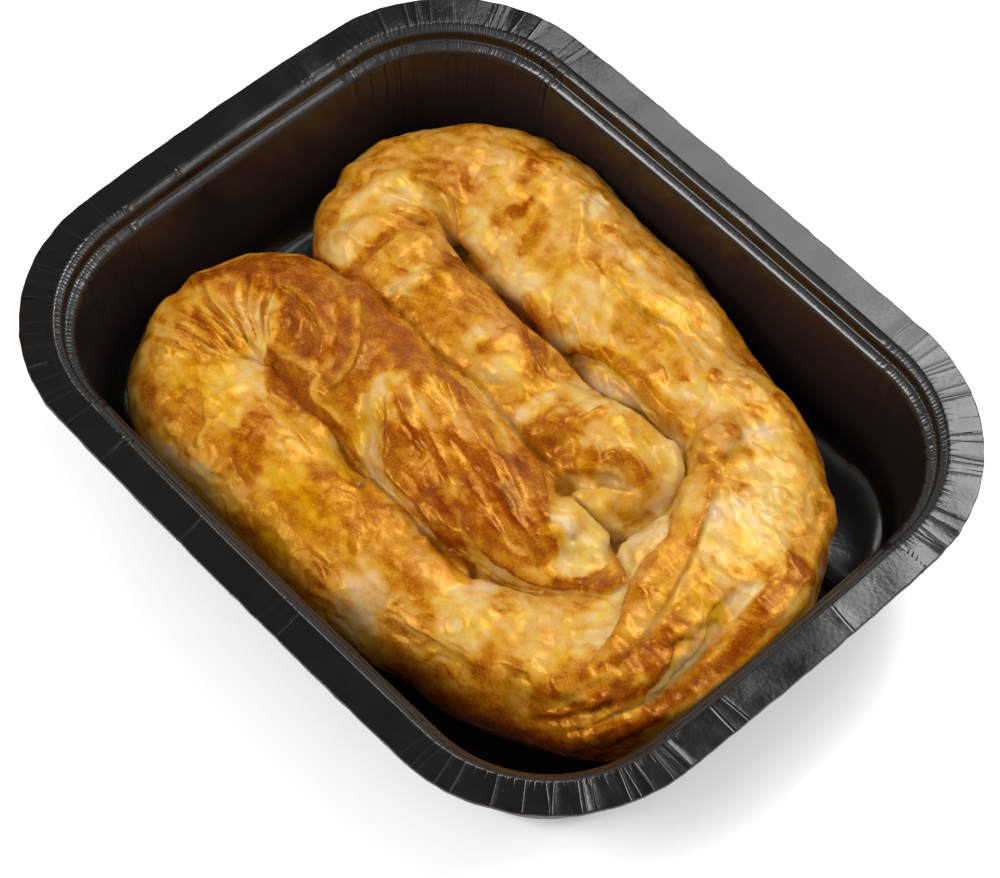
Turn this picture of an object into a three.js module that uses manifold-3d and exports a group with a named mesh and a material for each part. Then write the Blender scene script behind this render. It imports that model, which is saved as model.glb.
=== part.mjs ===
// A baked coil of rolled, filled pastry in its shallow tray of coated board.
// Millimetres, +Z up. The tray's underside is on z = 0 and its long side runs along X.
import * as THREE from 'three';
import { mergeVertices } from 'three/addons/utils/BufferGeometryUtils.js';
import Module from 'manifold-3d';

const wasm = await Module();
wasm.setup();

// Tray
const TRAY_LENGTH = 201;
const TRAY_WIDTH = 161.5;
const TRAY_HEIGHT = 40;
const CORNER_RADIUS = 44;
const SIDE_BOW = 0.6;
const BOARD = 0.8;
const FLANGE_WIDTH = 8.5;
const STEP_DROP = 4;
const STEP_LEDGE = 1;
const WALL_FOOT_INSET = 17;
const WALL_FOOT_HEIGHT = 4.8;
const FLOOR_INSET = 21.5;
const CORNER_STEPS = 9;
const SIDE_STEPS = 4;

// Pastry
const REST_GAP = 0.3;
const WALL_GAP = 0.4;
const PASTRY_FLOOR = BOARD + REST_GAP;
const SINK_SHARE = 0.06;
const SECTION_POWER = 2.3;
const STATION_STEP = 2.5;
const TOP_STEPS = 20;
const UNDER_STEPS = 4;
const TURN_LAP = 6;
const TURN_ROUNDING = 8;
const BEND_LIMIT = 0.92;
const SWELL = 0.6;
const PLEAT_DEPTH = 0.5;
const PLEAT_PITCH = 6.6;
const HEART_LENGTH = 108;
const HEART_WIDTH = 84;
const HEART_HEIGHT = 15;
const HEART_SHIFT = 6;
const HEART_STEPS = 28;

// The rolled rope of dough, from the tip of the lower inner leg to the upper inner leg's round end.
// Each point gives the place in plan, the half width and the height above the tray's floor.
const ROPE = [
  [50, -8, 8.5, 22],
  [43, -12, 10.5, 26],
  [33, -15.5, 14, 29],
  [19, -16.5, 16.5, 31],
  [3, -15.8, 17, 32],
  [-14, -15, 17, 32],
  [-31, -14, 16.5, 31],
  [-46, -14, 16, 30],
  [-57.5, -19, 16.8, 28.5],
  [-61, -30, 17.3, 27.5],
  [-56.5, -40.5, 17, 27],
  [-44, -45.8, 17, 27],
  [-27, -46.2, 17, 27],
  [0, -46.2, 17, 27],
  [25, -44.8, 17, 27],
  [43, -41, 17, 27],
  [55, -33, 17.5, 27.5],
  [62, -20, 18.2, 28],
  [63.2, -4, 18.2, 28],
  [62.2, 13, 18.2, 28],
  [54.5, 31, 17.5, 28],
  [40, 39, 18, 27.5],
  [20, 42.5, 18.5, 27.5],
  [0, 45, 19, 27.5],
  [-20, 46, 19, 27.5],
  [-38, 47.4, 19.6, 27],
  [-53, 43.4, 18.8, 26.5],
  [-61, 33.5, 17.3, 26],
  [-61.5, 23.5, 17, 26],
  [-56, 14.5, 16, 26.5],
  [-44, 10.5, 14.5, 27.5],
  [-30, 10, 14, 28],
  [-12, 9.5, 13.5, 28],
  [3, 8.5, 13, 28],
  [16, 9.5, 14.5, 29],
  [29, 10, 15.5, 29],
  [43.5, 9.5, 15.5, 28.5],
];
const LOWER_TURN = 9;
const UPPER_TURN = 28;
const TIP_ROUNDING = 8;
const END_ROUNDING = 14;

// Folds and hollows are marked in plan on a level, as seen from one place above the near corner.
// Each point of the surface takes its relief from the marks that it is seen against.
const MARK_LEVEL = 22;
const EYE = new THREE.Vector3(290.2, -276.3, 641.7);
const FOLDS = [
  // the strap that leaves a knob on the far rope and runs down the inside of the right-hand bend
  { width: 4.5, rise: 2.6, marks: [[38, 38], [45, 21], [53, 4], [57, -8], [62, -20], [61, -31], [53, -40]] },
  { width: 3.2, rise: 2.4, marks: [[37, 36.5], [42, 36.5]] },
  // layered edges and the pocket round the outside of the right-hand bend
  { width: 3, rise: 2, marks: [[71, 36], [75, 22], [77, 8], [78.5, -8], [77.5, -21], [74, -34], [66, -45]] },
  { width: 2.8, rise: 1.8, marks: [[64, -7], [67, -15], [67, -24], [63, -36], [55, -45]] },
  { width: 3.4, rise: -1.8, marks: [[70, 2], [73, -12], [73, -22]] },
  // the golden lip above the pocket in the far rope, and the brown lip that meets it
  { width: 2.6, rise: 2.4, marks: [[-3, 27], [1, 31], [8, 33.6], [17, 33], [26, 31.2], [33, 34]] },
  { width: 3.2, rise: -2.2, marks: [[5, 25], [13, 27], [22, 28]] },
  { width: 2.4, rise: 2, marks: [[-20, 30], [-12, 26], [-7, 22], [-1, 18]] },
  // the flap and the ring folds of the far left turn
  { width: 2.6, rise: 2, marks: [[-67, 24], [-64, 31.5], [-58, 34.2], [-51, 33.5], [-43, 28.7]] },
  { width: 2.4, rise: 1.6, marks: [[-56, 25.5], [-59.8, 20], [-60, 12], [-58, 5]] },
  { width: 2.2, rise: 1.4, marks: [[-47, 21], [-51, 13.5], [-52, 8], [-50, 3]] },
  { width: 2.4, rise: 1.4, marks: [[-37, 18], [-39, 11], [-39.7, 5]] },
  // crescent lips and the torn flake of the near left turn
  { width: 2.6, rise: 2, marks: [[-47.4, 0], [-40, -7.3], [-34.5, -13], [-32, -19.5], [-30.8, -24]] },
  { width: 2.6, rise: 1.8, marks: [[-66, -15], [-60, -11.7], [-52, -11.3], [-44, -14], [-39.5, -19]] },
  { width: 2.6, rise: -1.8, marks: [[-27, -13], [-25, -20], [-15, -27]] },
  { width: 2.4, rise: 1.4, marks: [[-49, -24.6], [-36, -22.6], [-31, -26.9]] },
  // edges of the brown sheet that wraps the lower inner leg, and its curled tip
  { width: 2.6, rise: 1.8, marks: [[-18, -14], [-12, -20], [-9, -26], [1, -28], [11, -27], [19, -23.5]] },
  { width: 2.8, rise: 2, marks: [[20, -23.5], [32, -23.7], [41, -21], [47, -16], [50, -11], [46.5, -6.5]] },
  { width: 3, rise: -1.6, marks: [[38, -13], [43, -11]] },
  // the coil of the upper inner leg's round end, and the ridges across the leg
  { width: 2.8, rise: 1.8, marks: [[10, 6], [13, 12], [16, 19.5], [23, 22.5]] },
  { width: 2.8, rise: 1.8, marks: [[20, 18], [26, 15.6], [32, 14.4], [36.5, 10], [34, 4]] },
  { width: 3, rise: -2, marks: [[22, 9], [30, 7]] },
  { width: 2.6, rise: 1.4, marks: [[-14, 18], [-15, 11], [-15.5, 4]] },
  { width: 2.4, rise: 1.4, marks: [[-3, 13], [-1.5, 8], [-2.5, 3]] },
  // the ragged edge along the crown of the far rope, and a fold across it
  { width: 2.2, rise: 1.3, marks: [[-19, 46], [-9, 47], [0, 45.7], [9, 48], [20, 45.6], [28, 45.3], [34, 49.5]] },
  { width: 3, rise: 1.5, marks: [[-33, 59], [-28, 53], [-21, 45.5]] },
];

const SEED = 7;
const WELD = 1e-3;

function randomSource(seed) {
  let state = seed;
  return () => {
    state = (state * 16807) % 2147483647;
    return state / 2147483647;
  };
}

function solidOf(positions, triangles) {
  const geometry = new THREE.BufferGeometry();
  geometry.setAttribute('position', new THREE.Float32BufferAttribute(positions, 3));
  geometry.setIndex(triangles);
  const merged = mergeVertices(geometry, WELD);
  const mesh = new wasm.Mesh({
    numProp: 3,
    vertProperties: new Float32Array(merged.attributes.position.array),
    triVerts: new Uint32Array(merged.index.array),
  });
  return new wasm.Manifold(mesh);
}

// The main body of a fused solid, with sealed hollows filled and loose scraps dropped.
function mainBody(solid) {
  const mesh = solid.getMesh();
  const bodies = solidOf(Array.from(mesh.vertProperties), Array.from(mesh.triVerts)).decompose();
  return bodies.reduce((best, body) => (body.volume() > best.volume() ? body : best));
}

function meshOf(solid, name, colour, roughness) {
  const made = solid.getMesh();
  const positions = new Float32Array((made.vertProperties.length / made.numProp) * 3);
  for (let i = 0; i < positions.length / 3; i += 1) {
    for (let k = 0; k < 3; k += 1) {
      positions[3 * i + k] = made.vertProperties[made.numProp * i + k];
    }
  }
  const geometry = new THREE.BufferGeometry();
  geometry.setAttribute('position', new THREE.BufferAttribute(positions, 3));
  geometry.setIndex(new THREE.BufferAttribute(new Uint32Array(made.triVerts), 1));
  geometry.computeVertexNormals();
  const material = new THREE.MeshStandardMaterial({ color: colour, roughness });
  const mesh = new THREE.Mesh(geometry, material);
  mesh.name = name;
  return mesh;
}

// Closed skin over a row of rings with the same number of points, with a fan at each end.
function skin(rings, firstCentre, lastCentre) {
  const count = rings[0].length;
  const positions = [];
  const triangles = [];
  for (const ring of rings) {
    for (const point of ring) {
      positions.push(point.x, point.y, point.z);
    }
  }
  for (let i = 0; i + 1 < rings.length; i += 1) {
    for (let j = 0; j < count; j += 1) {
      const a = i * count + j;
      const b = i * count + ((j + 1) % count);
      triangles.push(a, b, b + count, a, b + count, a + count);
    }
  }
  const first = rings.length * count;
  const last = first + 1;
  const top = (rings.length - 1) * count;
  positions.push(firstCentre.x, firstCentre.y, firstCentre.z);
  positions.push(lastCentre.x, lastCentre.y, lastCentre.z);
  for (let j = 0; j < count; j += 1) {
    const next = (j + 1) % count;
    triangles.push(first, next, j);
    triangles.push(last, top + j, top + next);
  }
  return solidOf(positions, triangles);
}

// Rounded rectangle in plan, anticlockwise, moved in from the rim's outer edge by inset.
function trayOutline(inset, height) {
  const halfLength = TRAY_LENGTH / 2 - SIDE_BOW - inset;
  const halfWidth = TRAY_WIDTH / 2 - SIDE_BOW - inset;
  const radius = CORNER_RADIUS - inset;
  const corners = [[1, 1], [-1, 1], [-1, -1], [1, -1]];
  const arcs = corners.map(([sx, sy], quarter) => {
    const centre = new THREE.Vector2(sx * (halfLength - radius), sy * (halfWidth - radius));
    const arc = [];
    for (let i = 0; i <= CORNER_STEPS; i += 1) {
      const angle = (quarter + i / CORNER_STEPS) * (Math.PI / 2);
      arc.push(new THREE.Vector2(Math.cos(angle), Math.sin(angle)).multiplyScalar(radius).add(centre));
    }
    return arc;
  });
  const points = [];
  arcs.forEach((arc, quarter) => {
    points.push(...arc);
    const from = arc[arc.length - 1];
    const to = arcs[(quarter + 1) % 4][0];
    const along = to.clone().sub(from).normalize();
    const outward = new THREE.Vector2(along.y, -along.x);
    for (let i = 1; i < SIDE_STEPS; i += 1) {
      const share = i / SIDE_STEPS;
      const bow = 4 * SIDE_BOW * share * (1 - share);
      points.push(from.clone().lerp(to, share).addScaledVector(outward, bow));
    }
  });
  return points.map((point) => new THREE.Vector3(point.x, point.y, height));
}

// The tray's upper face from the rim's edge to the floor, as (inset, height).
function trayProfile() {
  const top = TRAY_HEIGHT;
  const lip = FLANGE_WIDTH;
  const wallTop = lip + 1.1;
  const stepInset = wallTop + 0.6 + STEP_LEDGE;
  const profile = [
    [0, top - 0.4],
    [1.2, top],
    [lip - 1, top],
    [lip + 0.4, top - 0.5],
    [wallTop, top - 1.7],
    [wallTop + 0.6, top - STEP_DROP],
    [stepInset, top - STEP_DROP - 0.5],
    [stepInset + 0.4, top - STEP_DROP - 1.6],
    [(stepInset + WALL_FOOT_INSET) / 2, (top - STEP_DROP + WALL_FOOT_HEIGHT) / 2],
    [WALL_FOOT_INSET, WALL_FOOT_HEIGHT],
    [WALL_FOOT_INSET + 1.2, WALL_FOOT_HEIGHT - 2.3],
    [FLOOR_INSET - 1.6, BOARD + 0.4],
    [FLOOR_INSET, BOARD],
  ];
  return profile.map(([inset, height]) => new THREE.Vector2(inset, height));
}

// The same line moved to the board's other side.
function otherSide(profile, thickness) {
  return profile.map((point, i) => {
    const before = profile[Math.max(i - 1, 0)];
    const after = profile[Math.min(i + 1, profile.length - 1)];
    const along = after.clone().sub(before).normalize();
    const moved = point.clone().add(new THREE.Vector2(along.y, -along.x).multiplyScalar(thickness));
    if (i === 0) {
      moved.set(point.x, point.y - thickness);
    }
    if (i === profile.length - 1) {
      moved.set(point.x, 0);
    }
    return moved;
  });
}

function tray() {
  const upper = trayProfile();
  const lower = otherSide(upper, BOARD);
  const loop = [...lower.slice().reverse(), ...upper];
  const rings = loop.map((point) => trayOutline(point.x, point.y));
  return skin(rings, new THREE.Vector3(0, 0, 0), new THREE.Vector3(0, 0, BOARD));
}

// The space inside the tray that the pastry may fill.
function cavity() {
  const inside = trayProfile().slice(3).reverse();
  const rings = inside.map((point) => trayOutline(point.x + WALL_GAP, point.y + REST_GAP));
  const mouth = trayOutline(FLANGE_WIDTH + WALL_GAP, TRAY_HEIGHT + 20);
  const floorCentre = new THREE.Vector3(0, 0, PASTRY_FLOOR);
  return skin([...rings, mouth], floorCentre, new THREE.Vector3(0, 0, TRAY_HEIGHT + 20));
}

function signedPower(value, power) {
  return Math.sign(value) * Math.abs(value) ** power;
}

// Evenly spaced stations along the rope, with its size, its direction and its bend.
function ropeStations() {
  const line = new THREE.CatmullRomCurve3(ROPE.map(([x, y]) => new THREE.Vector3(x, y, 0)));
  const sizes = new THREE.CatmullRomCurve3(ROPE.map(([, , w, h]) => new THREE.Vector3(w, h, 0)));
  line.arcLengthDivisions = 2000;
  const length = line.getLength();
  const count = Math.round(length / STATION_STEP);
  const stations = [];
  for (let i = 0; i <= count; i += 1) {
    const share = i / count;
    const t = line.getUtoTmapping(share);
    const size = sizes.getPoint(t);
    stations.push({
      reach: share * length,
      knot: t * (ROPE.length - 1),
      centre: line.getPoint(t),
      along: line.getTangent(t).normalize(),
      halfWidth: size.x,
      height: size.y,
    });
  }
  stations.forEach((station, i) => {
    const before = stations[Math.max(i - 1, 0)].along;
    const after = stations[Math.min(i + 1, count)].along;
    const turn = before.x * after.y - before.y * after.x;
    station.bend = turn / (2 * STATION_STEP);
    station.side = new THREE.Vector3(-station.along.y, station.along.x, 0);
  });
  return stations;
}

// Swelling of the rolled dough: slow random waves along the rope and round it.
function swellWaves() {
  const random = randomSource(SEED);
  const waves = [];
  for (let i = 0; i < 7; i += 1) {
    waves.push({
      along: (2 * Math.PI) / (16 + 34 * random()),
      round: Math.floor(1 + 3 * random()),
      phase: 2 * Math.PI * random(),
    });
  }
  return waves;
}

const WAVES = swellWaves();
const FOLD_LINES = FOLDS.map((fold) => ({ ...fold, line: foldLine(fold.marks) }));

function foldLine(marks) {
  const curve = new THREE.CatmullRomCurve3(marks.map(([u, v]) => new THREE.Vector3(u, v, MARK_LEVEL)));
  return curve.getSpacedPoints(3 * marks.length);
}

function distanceTo(line, point) {
  const nearest = new THREE.Vector3();
  let distance = Infinity;
  for (let i = 0; i + 1 < line.length; i += 1) {
    new THREE.Line3(line[i], line[i + 1]).closestPointToPoint(point, true, nearest);
    distance = Math.min(distance, nearest.distanceTo(point));
  }
  return distance;
}

function foldRelief(point) {
  const share = (MARK_LEVEL - point.z) / (EYE.z - point.z);
  const seen = point.clone().lerp(EYE, share);
  let rise = 0;
  for (const fold of FOLD_LINES) {
    rise += fold.rise * Math.exp(-((distanceTo(fold.line, seen) / fold.width) ** 2));
  }
  return rise;
}

function swellRelief(station, angle) {
  const upper = Math.max(0, Math.sin(angle));
  let rise = 0;
  for (const wave of WAVES) {
    rise += (SWELL / 2.6) * Math.sin(wave.along * station.reach + wave.round * angle + wave.phase);
  }
  const turning = Math.min(1, Math.abs(station.bend) * 20);
  return rise + PLEAT_DEPTH * turning * upper * Math.sin((2 * Math.PI * station.reach) / PLEAT_PITCH);
}

function sectionAngles() {
  const angles = [];
  for (let i = 0; i < TOP_STEPS; i += 1) {
    angles.push((-0.1 + (1.2 * i) / TOP_STEPS) * Math.PI);
  }
  for (let i = 0; i < UNDER_STEPS; i += 1) {
    angles.push((1.1 + (0.8 * i) / UNDER_STEPS) * Math.PI);
  }
  return angles;
}

function ropeRing(station, shrink) {
  const limit = Math.abs(station.bend) > 1e-4 ? BEND_LIMIT / Math.abs(station.bend) : Infinity;
  const halfHeight = (station.height * (1 + SINK_SHARE)) / 2;
  const level = PASTRY_FLOOR + station.height - halfHeight;
  return sectionAngles().map((angle) => {
    const inward = Math.cos(angle) * station.bend > 0;
    const width = inward ? Math.min(station.halfWidth, limit) : station.halfWidth;
    const across = signedPower(Math.cos(angle), 2 / SECTION_POWER);
    const upward = signedPower(Math.sin(angle), 2 / SECTION_POWER);
    const plain = station.centre.clone().addScaledVector(station.side, width * shrink * across);
    plain.setZ(level + halfHeight * shrink * upward);
    const rise = (swellRelief(station, angle) + Math.max(0, upward) * foldRelief(plain)) * shrink;
    return plain.addScaledVector(station.side, rise * across).setZ(plain.z + rise * upward);
  });
}

function roundedShare(distance, rounding) {
  if (distance >= rounding) {
    return 1;
  }
  return Math.sqrt(Math.max(0.02, 1 - (1 - distance / rounding) ** 2));
}

// One length of the rope between two reaches, round at both ends.
function ropeLength(stations, from, to, startRounding, endRounding) {
  const used = stations.filter((station) => station.reach >= from && station.reach <= to);
  const first = used[0];
  const last = used[used.length - 1];
  const rings = used.map((station) => {
    const start = roundedShare(station.reach - first.reach, startRounding);
    const end = roundedShare(last.reach - station.reach, endRounding);
    return ropeRing(station, Math.min(start, end));
  });
  const middle = (station) => station.centre.clone().setZ(PASTRY_FLOOR + station.height * 0.47);
  return skin(rings, middle(first), middle(last));
}

function ropeLengths(stations) {
  const reachAt = (knot) => stations.find((station) => station.knot >= knot).reach;
  const total = stations[stations.length - 1].reach;
  const lower = reachAt(LOWER_TURN);
  const upper = reachAt(UPPER_TURN);
  return [
    ropeLength(stations, 0, lower + TURN_LAP, TIP_ROUNDING, TURN_ROUNDING),
    ropeLength(stations, lower - TURN_LAP, upper + TURN_LAP, TURN_ROUNDING, TURN_ROUNDING),
    ropeLength(stations, upper - TURN_LAP, total, TURN_ROUNDING, END_ROUNDING),
  ];
}

// Dough that closes the grooves between the legs from below.
function heart() {
  const ring = (height, share) => {
    const points = [];
    for (let i = 0; i < HEART_STEPS; i += 1) {
      const angle = (2 * Math.PI * i) / HEART_STEPS;
      const x = HEART_SHIFT + (HEART_LENGTH / 2) * share * signedPower(Math.cos(angle), 0.7);
      const y = (HEART_WIDTH / 2) * share * signedPower(Math.sin(angle), 0.7);
      points.push(new THREE.Vector3(x, y, height));
    }
    return points;
  };
  const top = PASTRY_FLOOR + HEART_HEIGHT;
  const rings = [ring(0, 1), ring(top, 1)];
  return skin(rings, new THREE.Vector3(HEART_SHIFT, 0, 0), new THREE.Vector3(HEART_SHIFT, 0, top));
}

function pastry() {
  let solid = heart();
  for (const length of ropeLengths(ropeStations())) {
    solid = solid.add(length);
  }
  return mainBody(solid.intersect(cavity()));
}

const part = new THREE.Group();
part.name = 'borek';
part.add(meshOf(tray(), 'tray', 0x1c1917, 0.35));
part.add(meshOf(pastry(), 'pastry', 0xd6922f, 0.5));

export default part;
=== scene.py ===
"""A baked coil of rolled pastry in its black board tray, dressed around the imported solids."""
import itertools
import math
from collections import namedtuple

import bpy
import numpy as np
from mathutils import Matrix, Vector


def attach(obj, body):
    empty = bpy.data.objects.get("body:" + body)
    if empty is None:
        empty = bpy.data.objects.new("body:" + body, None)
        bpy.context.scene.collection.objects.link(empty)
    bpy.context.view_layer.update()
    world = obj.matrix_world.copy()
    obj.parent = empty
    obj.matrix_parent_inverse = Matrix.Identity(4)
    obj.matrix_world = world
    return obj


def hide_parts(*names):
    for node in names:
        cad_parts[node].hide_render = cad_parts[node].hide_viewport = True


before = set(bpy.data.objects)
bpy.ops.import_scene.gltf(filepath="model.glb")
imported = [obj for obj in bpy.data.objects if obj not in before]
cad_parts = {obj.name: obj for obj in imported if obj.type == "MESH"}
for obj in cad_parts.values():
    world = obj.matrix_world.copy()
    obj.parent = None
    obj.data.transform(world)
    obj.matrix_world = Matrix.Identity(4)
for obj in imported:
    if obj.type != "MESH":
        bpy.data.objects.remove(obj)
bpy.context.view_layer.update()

MM = 0.001
SEED = 11

# Camera, in mm in the part's frame, as fitted to the tray's rim.
EYE = np.array([290.209, -276.293, 641.715])
AZIMUTH = math.radians(46.236)
ELEVATION = math.radians(57.508)
ROLL = math.radians(1.298)
LENS = 115.76
SENSOR = 36.0

# Tray, in mm: the solid's sizes, and then the ledge's width and the curve between wall and floor.
TRAY_LENGTH = 201.0
TRAY_WIDTH = 161.5
TRAY_HEIGHT = 40.0
CORNER_RADIUS = 44.0
SIDE_BOW = 0.6
BOARD = 0.8
FLANGE = 8.5
STEP_DROP = 4.0
WALL_FOOT_INSET = 17.0
WALL_FOOT_HEIGHT = 4.8
LEDGE_WIDTH = 3.0
FOOT_WIDTH = 7.0
# At the right-hand corner that curve is wider by this.
FOOT_SPREAD = 11.0

# Pastry: cells of the divided copy in mm, and the share of faces that the hidden underside keeps.
VOXEL = 0.62
UNDERSIDE_KEEP = 0.60
# The underside: what faces down more steeply than this, or lies below this level in mm.
UNDERSIDE_SLOPE = -0.15
UNDERSIDE_LEVEL = 8
# Rounds of smoothing: of the copy's points, of its normals, and of the relief that crests stand out from.
POINT_ROUNDS = 6
NORMAL_ROUNDS = 4
CREST_ROUNDS = 25
# How far the rope's steep sides swell, in mm, and the upward part of the normals from which this fades out.
SWELL = 0.7
STEEP = (0.5, 0.9)
# From none to full: facing the camera by the cosine of the angle, and the upper side by the normals' upward
# part.
SEEN = (0.02, 0.3)
UPPER = (-0.5, 0.1)
# How far coarse and fine noise shifts the folds and the ragged areas of tone, in mm.
FOLD_WARP = (0.35, 0.15)
RAGGED_WARP = (0.9, 0.6)
# Level of the marks in mm.
MARK_LEVEL = 22.0

# A smooth noise: size of its lumps in mm, one or one for each axis, and what sets it apart from the others.
Noise = namedtuple("Noise", "size seed")
FLANGE_WAVE = Noise(18, 1)
EDGE_WAVE = Noise(11, 2)
CUT_EDGE = Noise(4, 3)
WARPS = [Noise(4.5, 20), Noise(4.5, 21)]
FINE_WARPS = [Noise(1.8, 22), Noise(1.8, 23)]
CLOUDS = Noise(11, 30)
LUMPS = Noise(8, 31)
SMALL_LUMPS = Noise(4, 32)
CRINKLES = Noise(3.4, 33)
GRAIN = Noise(1.5, 34)
STREAKS = Noise((14, 1.8, 6), 35)
MOTTLING = Noise(3.2, 36)
FINE_STREAKS = Noise((6, 0.9, 4), 37)
CRUMPLES = Noise((11, 7, 8), 38)
BROAD_STREAKS = Noise((18, 4, 8), 39)
FLAKES = Noise(11, 40)
FINE_FLAKES = Noise(5.5, 60)
STRAIGHT_STREAKS = Noise((10, 2.6, 9), 50)
ROUND_STREAKS = [Noise((9, 2.4, 9), 51), Noise((9, 2.4, 9), 52)]
# Number of slopes in a noise's table, and what brings its values to about -1 to 1.
NOISE_TABLE = 256
NOISE_GAIN = 1.6

# How brown the crust is, from raw-looking dough to scorched.
RAW = 0.0
PALE = 0.1
CREAM = 0.22
STRAW = 0.33
GOLD = 0.45
AMBER = 0.57
BROWN = 0.69
DARK = 0.82
SCORCHED = 0.95

# Folds are marked in plan on one level, as seen from the camera's place.
# A lip is the edge of a sheet that lies on the left of its marks: the sheet rises at its edge and falls
# off over its reach, and what lies below drops. A ridge is a narrow crest, or a groove if its rise is
# negative.
Lip = namedtuple("Lip", "rise reach drop tone marks")
Ridge = namedtuple("Ridge", "rise width tone marks")
# How wide the sheet below a lip sinks, in mm, where across it the step is, and (middle, width) of its
# overhang, painted edge and painted crevice shade. The overhang goes by the lip's rise and the painted shade
# by its drop.
LIP_SINK = 2.2
LIP_STEP = (-0.5, 0.3)
OVERHANG_PLACE = (0.3, 0.9)
EDGE_PLACE = (0.5, 0.6)
CREVICE_SHADE_PLACE = (-0.5, 0.45)
OVERHANG_SHARE = 0.8
CREVICE_SHADE_SHARE = 0.22
# How strongly the marks paint the crust, and how blotches and washes fall off: by factor and power.
LIP_OPACITY = 0.8
RIDGE_OPACITY = 0.6
PATCH_OPACITY = 0.92
BLOTCH_OPACITY = 0.6
BLOTCH_FALL = (1.3, 1.4)
WASH_FALL = (1.2, 1.2)

LIPS = [
    # near left turn: long fold, crescent, torn flake with its two edges, torn step
    Lip(0.9, 2.4, 0.4, STRAW, [(-30.5, -24), (-31.7, -19.9), (-33, -15), (-35.9, -10.8), (-39.7, -7.3),
        (-44.2, -3.3), (-47.5, 0)]),
    Lip(0.9, 2.6, 0.3, GOLD, [(-64, -13.5), (-59.5, -11.6), (-53, -11.3), (-46.8, -12.6), (-42.9, -14.5),
        (-39.7, -18.6)]),
    Lip(0.3, 2.0, 0.1, None, [(-21, -26.6), (-27, -26.8), (-31.5, -27), (-34.5, -24), (-36, -22.5),
        (-41, -23.4), (-49, -25)]),
    Lip(0.5, 2.5, 0.1, AMBER, [(-50, -25.5), (-48, -28), (-45, -31.5), (-41, -34), (-39, -34.2)]),
    Lip(0.8, 2.2, 0.5, CREAM, [(-50, -44.8), (-48, -46), (-46, -48.3), (-43, -50.3), (-41, -54),
        (-40.2, -57)]),
    # lower inner leg: its crown, the edge of its brown sheet, its curled tip
    Lip(0.3, 4.0, 1.0, None, [(30, -11), (25, -7), (20, -3.3), (15, -1), (5, 0.6), (-5, 0), (-15, -0.2),
        (-27, 1.5), (-37, 2.5)]),
    Lip(0.6, 4.0, 0.5, None, [(-22, -14), (-16, -18.5), (-10.5, -24), (-8, -26.5), (-4, -28.3),
        (8, -29.2), (15, -30.5), (20, -31)]),
    Lip(1.0, 3.2, 0.9, AMBER, [(20, -25.5), (26, -25.5), (32, -24.8), (38, -23), (42, -20.5), (45, -17.5),
        (49.5, -13.5), (51.3, -9.5), (49.5, -7), (45, -6.2), (42, -6.5)]),
    # far left turn: the outer lip over the hollow, the ring lips below it, the brown crest
    Lip(0.8, 4.0, 0.6, None, [(-66, 30), (-62, 32.8), (-57, 34.8), (-52, 34.6), (-48.5, 32.6),
        (-44.5, 29.8), (-41, 27.8), (-37.5, 26.5)]),
    Lip(0.8, 2.2, 0.7, STRAW, [(-43.5, 23.8), (-46, 25.6), (-50, 27.2), (-54, 27.5), (-58, 26.5)]),
    Lip(0.5, 2.0, 0.4, STRAW, [(-44.5, 21.3), (-47, 22.2), (-50.5, 22), (-52.5, 20.5)]),
    Lip(0.6, 2.5, 1.1, DARK, [(-30, 22.3), (-34, 23), (-38, 23.3), (-41, 22.8), (-44, 23.4)]),
    # upper inner leg: its far edge and the wedge above it
    Lip(0.7, 2.6, 1.1, BROWN, [(1, 16.5), (-3, 16.8), (-7, 18), (-11, 20), (-15, 22), (-19, 23.2),
        (-23, 22.6), (-28, 22.1)]),
    Lip(0.8, 2.2, 0.5, BROWN, [(-18, 29.5), (-13, 26.5), (-9, 23.5), (-5.5, 20.5)]),
    # round end: left rim, the groove round it, the inner sheet's edge
    Lip(0.8, 2.5, 0.5, GOLD, [(15, 21.5), (14.3, 17), (13.8, 13.5), (12, 10.5)]),
    Lip(0.5, 3.0, 0.6, CREAM, [(43, -3), (44.5, 2), (46, 9), (45, 12), (43.5, 16.5), (41, 20), (38.5, 22),
        (36, 24.6), (33, 25.4), (28, 25.8), (24, 25.3), (18, 23.6), (12, 22.3), (8.5, 21), (5, 19.5),
        (0.3, 17)]),
    Lip(0.9, 3.0, 0.6, CREAM, [(36, 9.5), (32, 5), (28, 1), (26.8, -3)]),
    # far rope: ragged crown, golden lip over the pale pocket, small lip
    Lip(0.6, 3.5, 0.6, None, [(-20, 46), (-9, 47), (-3, 46), (3, 46.2), (8.7, 48.3), (12, 48), (20, 45.6),
        (24, 46.3), (28, 45.5), (30.5, 48), (34.5, 49.6)]),
    Lip(0.5, 2.4, 0.4, None, [(-2.5, 24.5), (0, 27.5), (4, 29.2), (10, 30.2), (17, 30.2), (23, 29.4),
        (28, 28)]),
    Lip(0.4, 2.0, 0.3, GOLD, [(20, 35), (18, 36.8), (16, 37.6), (13, 37.3)]),
    # right-hand bend: both edges of the strap, the wedge, the outer band
    Lip(0.9, 4.5, 0.7, GOLD, [(41, 22), (45, 16), (48, 11), (51, 6), (51.2, -2), (53, -7), (56, -12),
        (59, -17), (60.5, -21), (60.5, -26)]),
    Lip(0.5, 3.0, 0.4, AMBER, [(56, 8), (53.5, 13), (51, 18), (47, 24), (44, 27.5)]),
    Lip(0.5, 4.0, 0.2, AMBER, [(74, -24), (73.5, -17), (72, -14), (69, -11), (66, -9.5)]),
    Lip(0.6, 3.5, 0.3, AMBER, [(73, 19), (74.5, 10), (75.5, 0), (77, -8), (77.5, -16), (77.5, -24),
        (75.5, -31), (73, -40), (68, -46)]),
    # near rope: thin sheet edge on top
    Lip(0.4, 3.0, 0.3, GOLD, [(-40, -37), (-33, -36), (-26, -37), (-19, -37.2)]),
]

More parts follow.
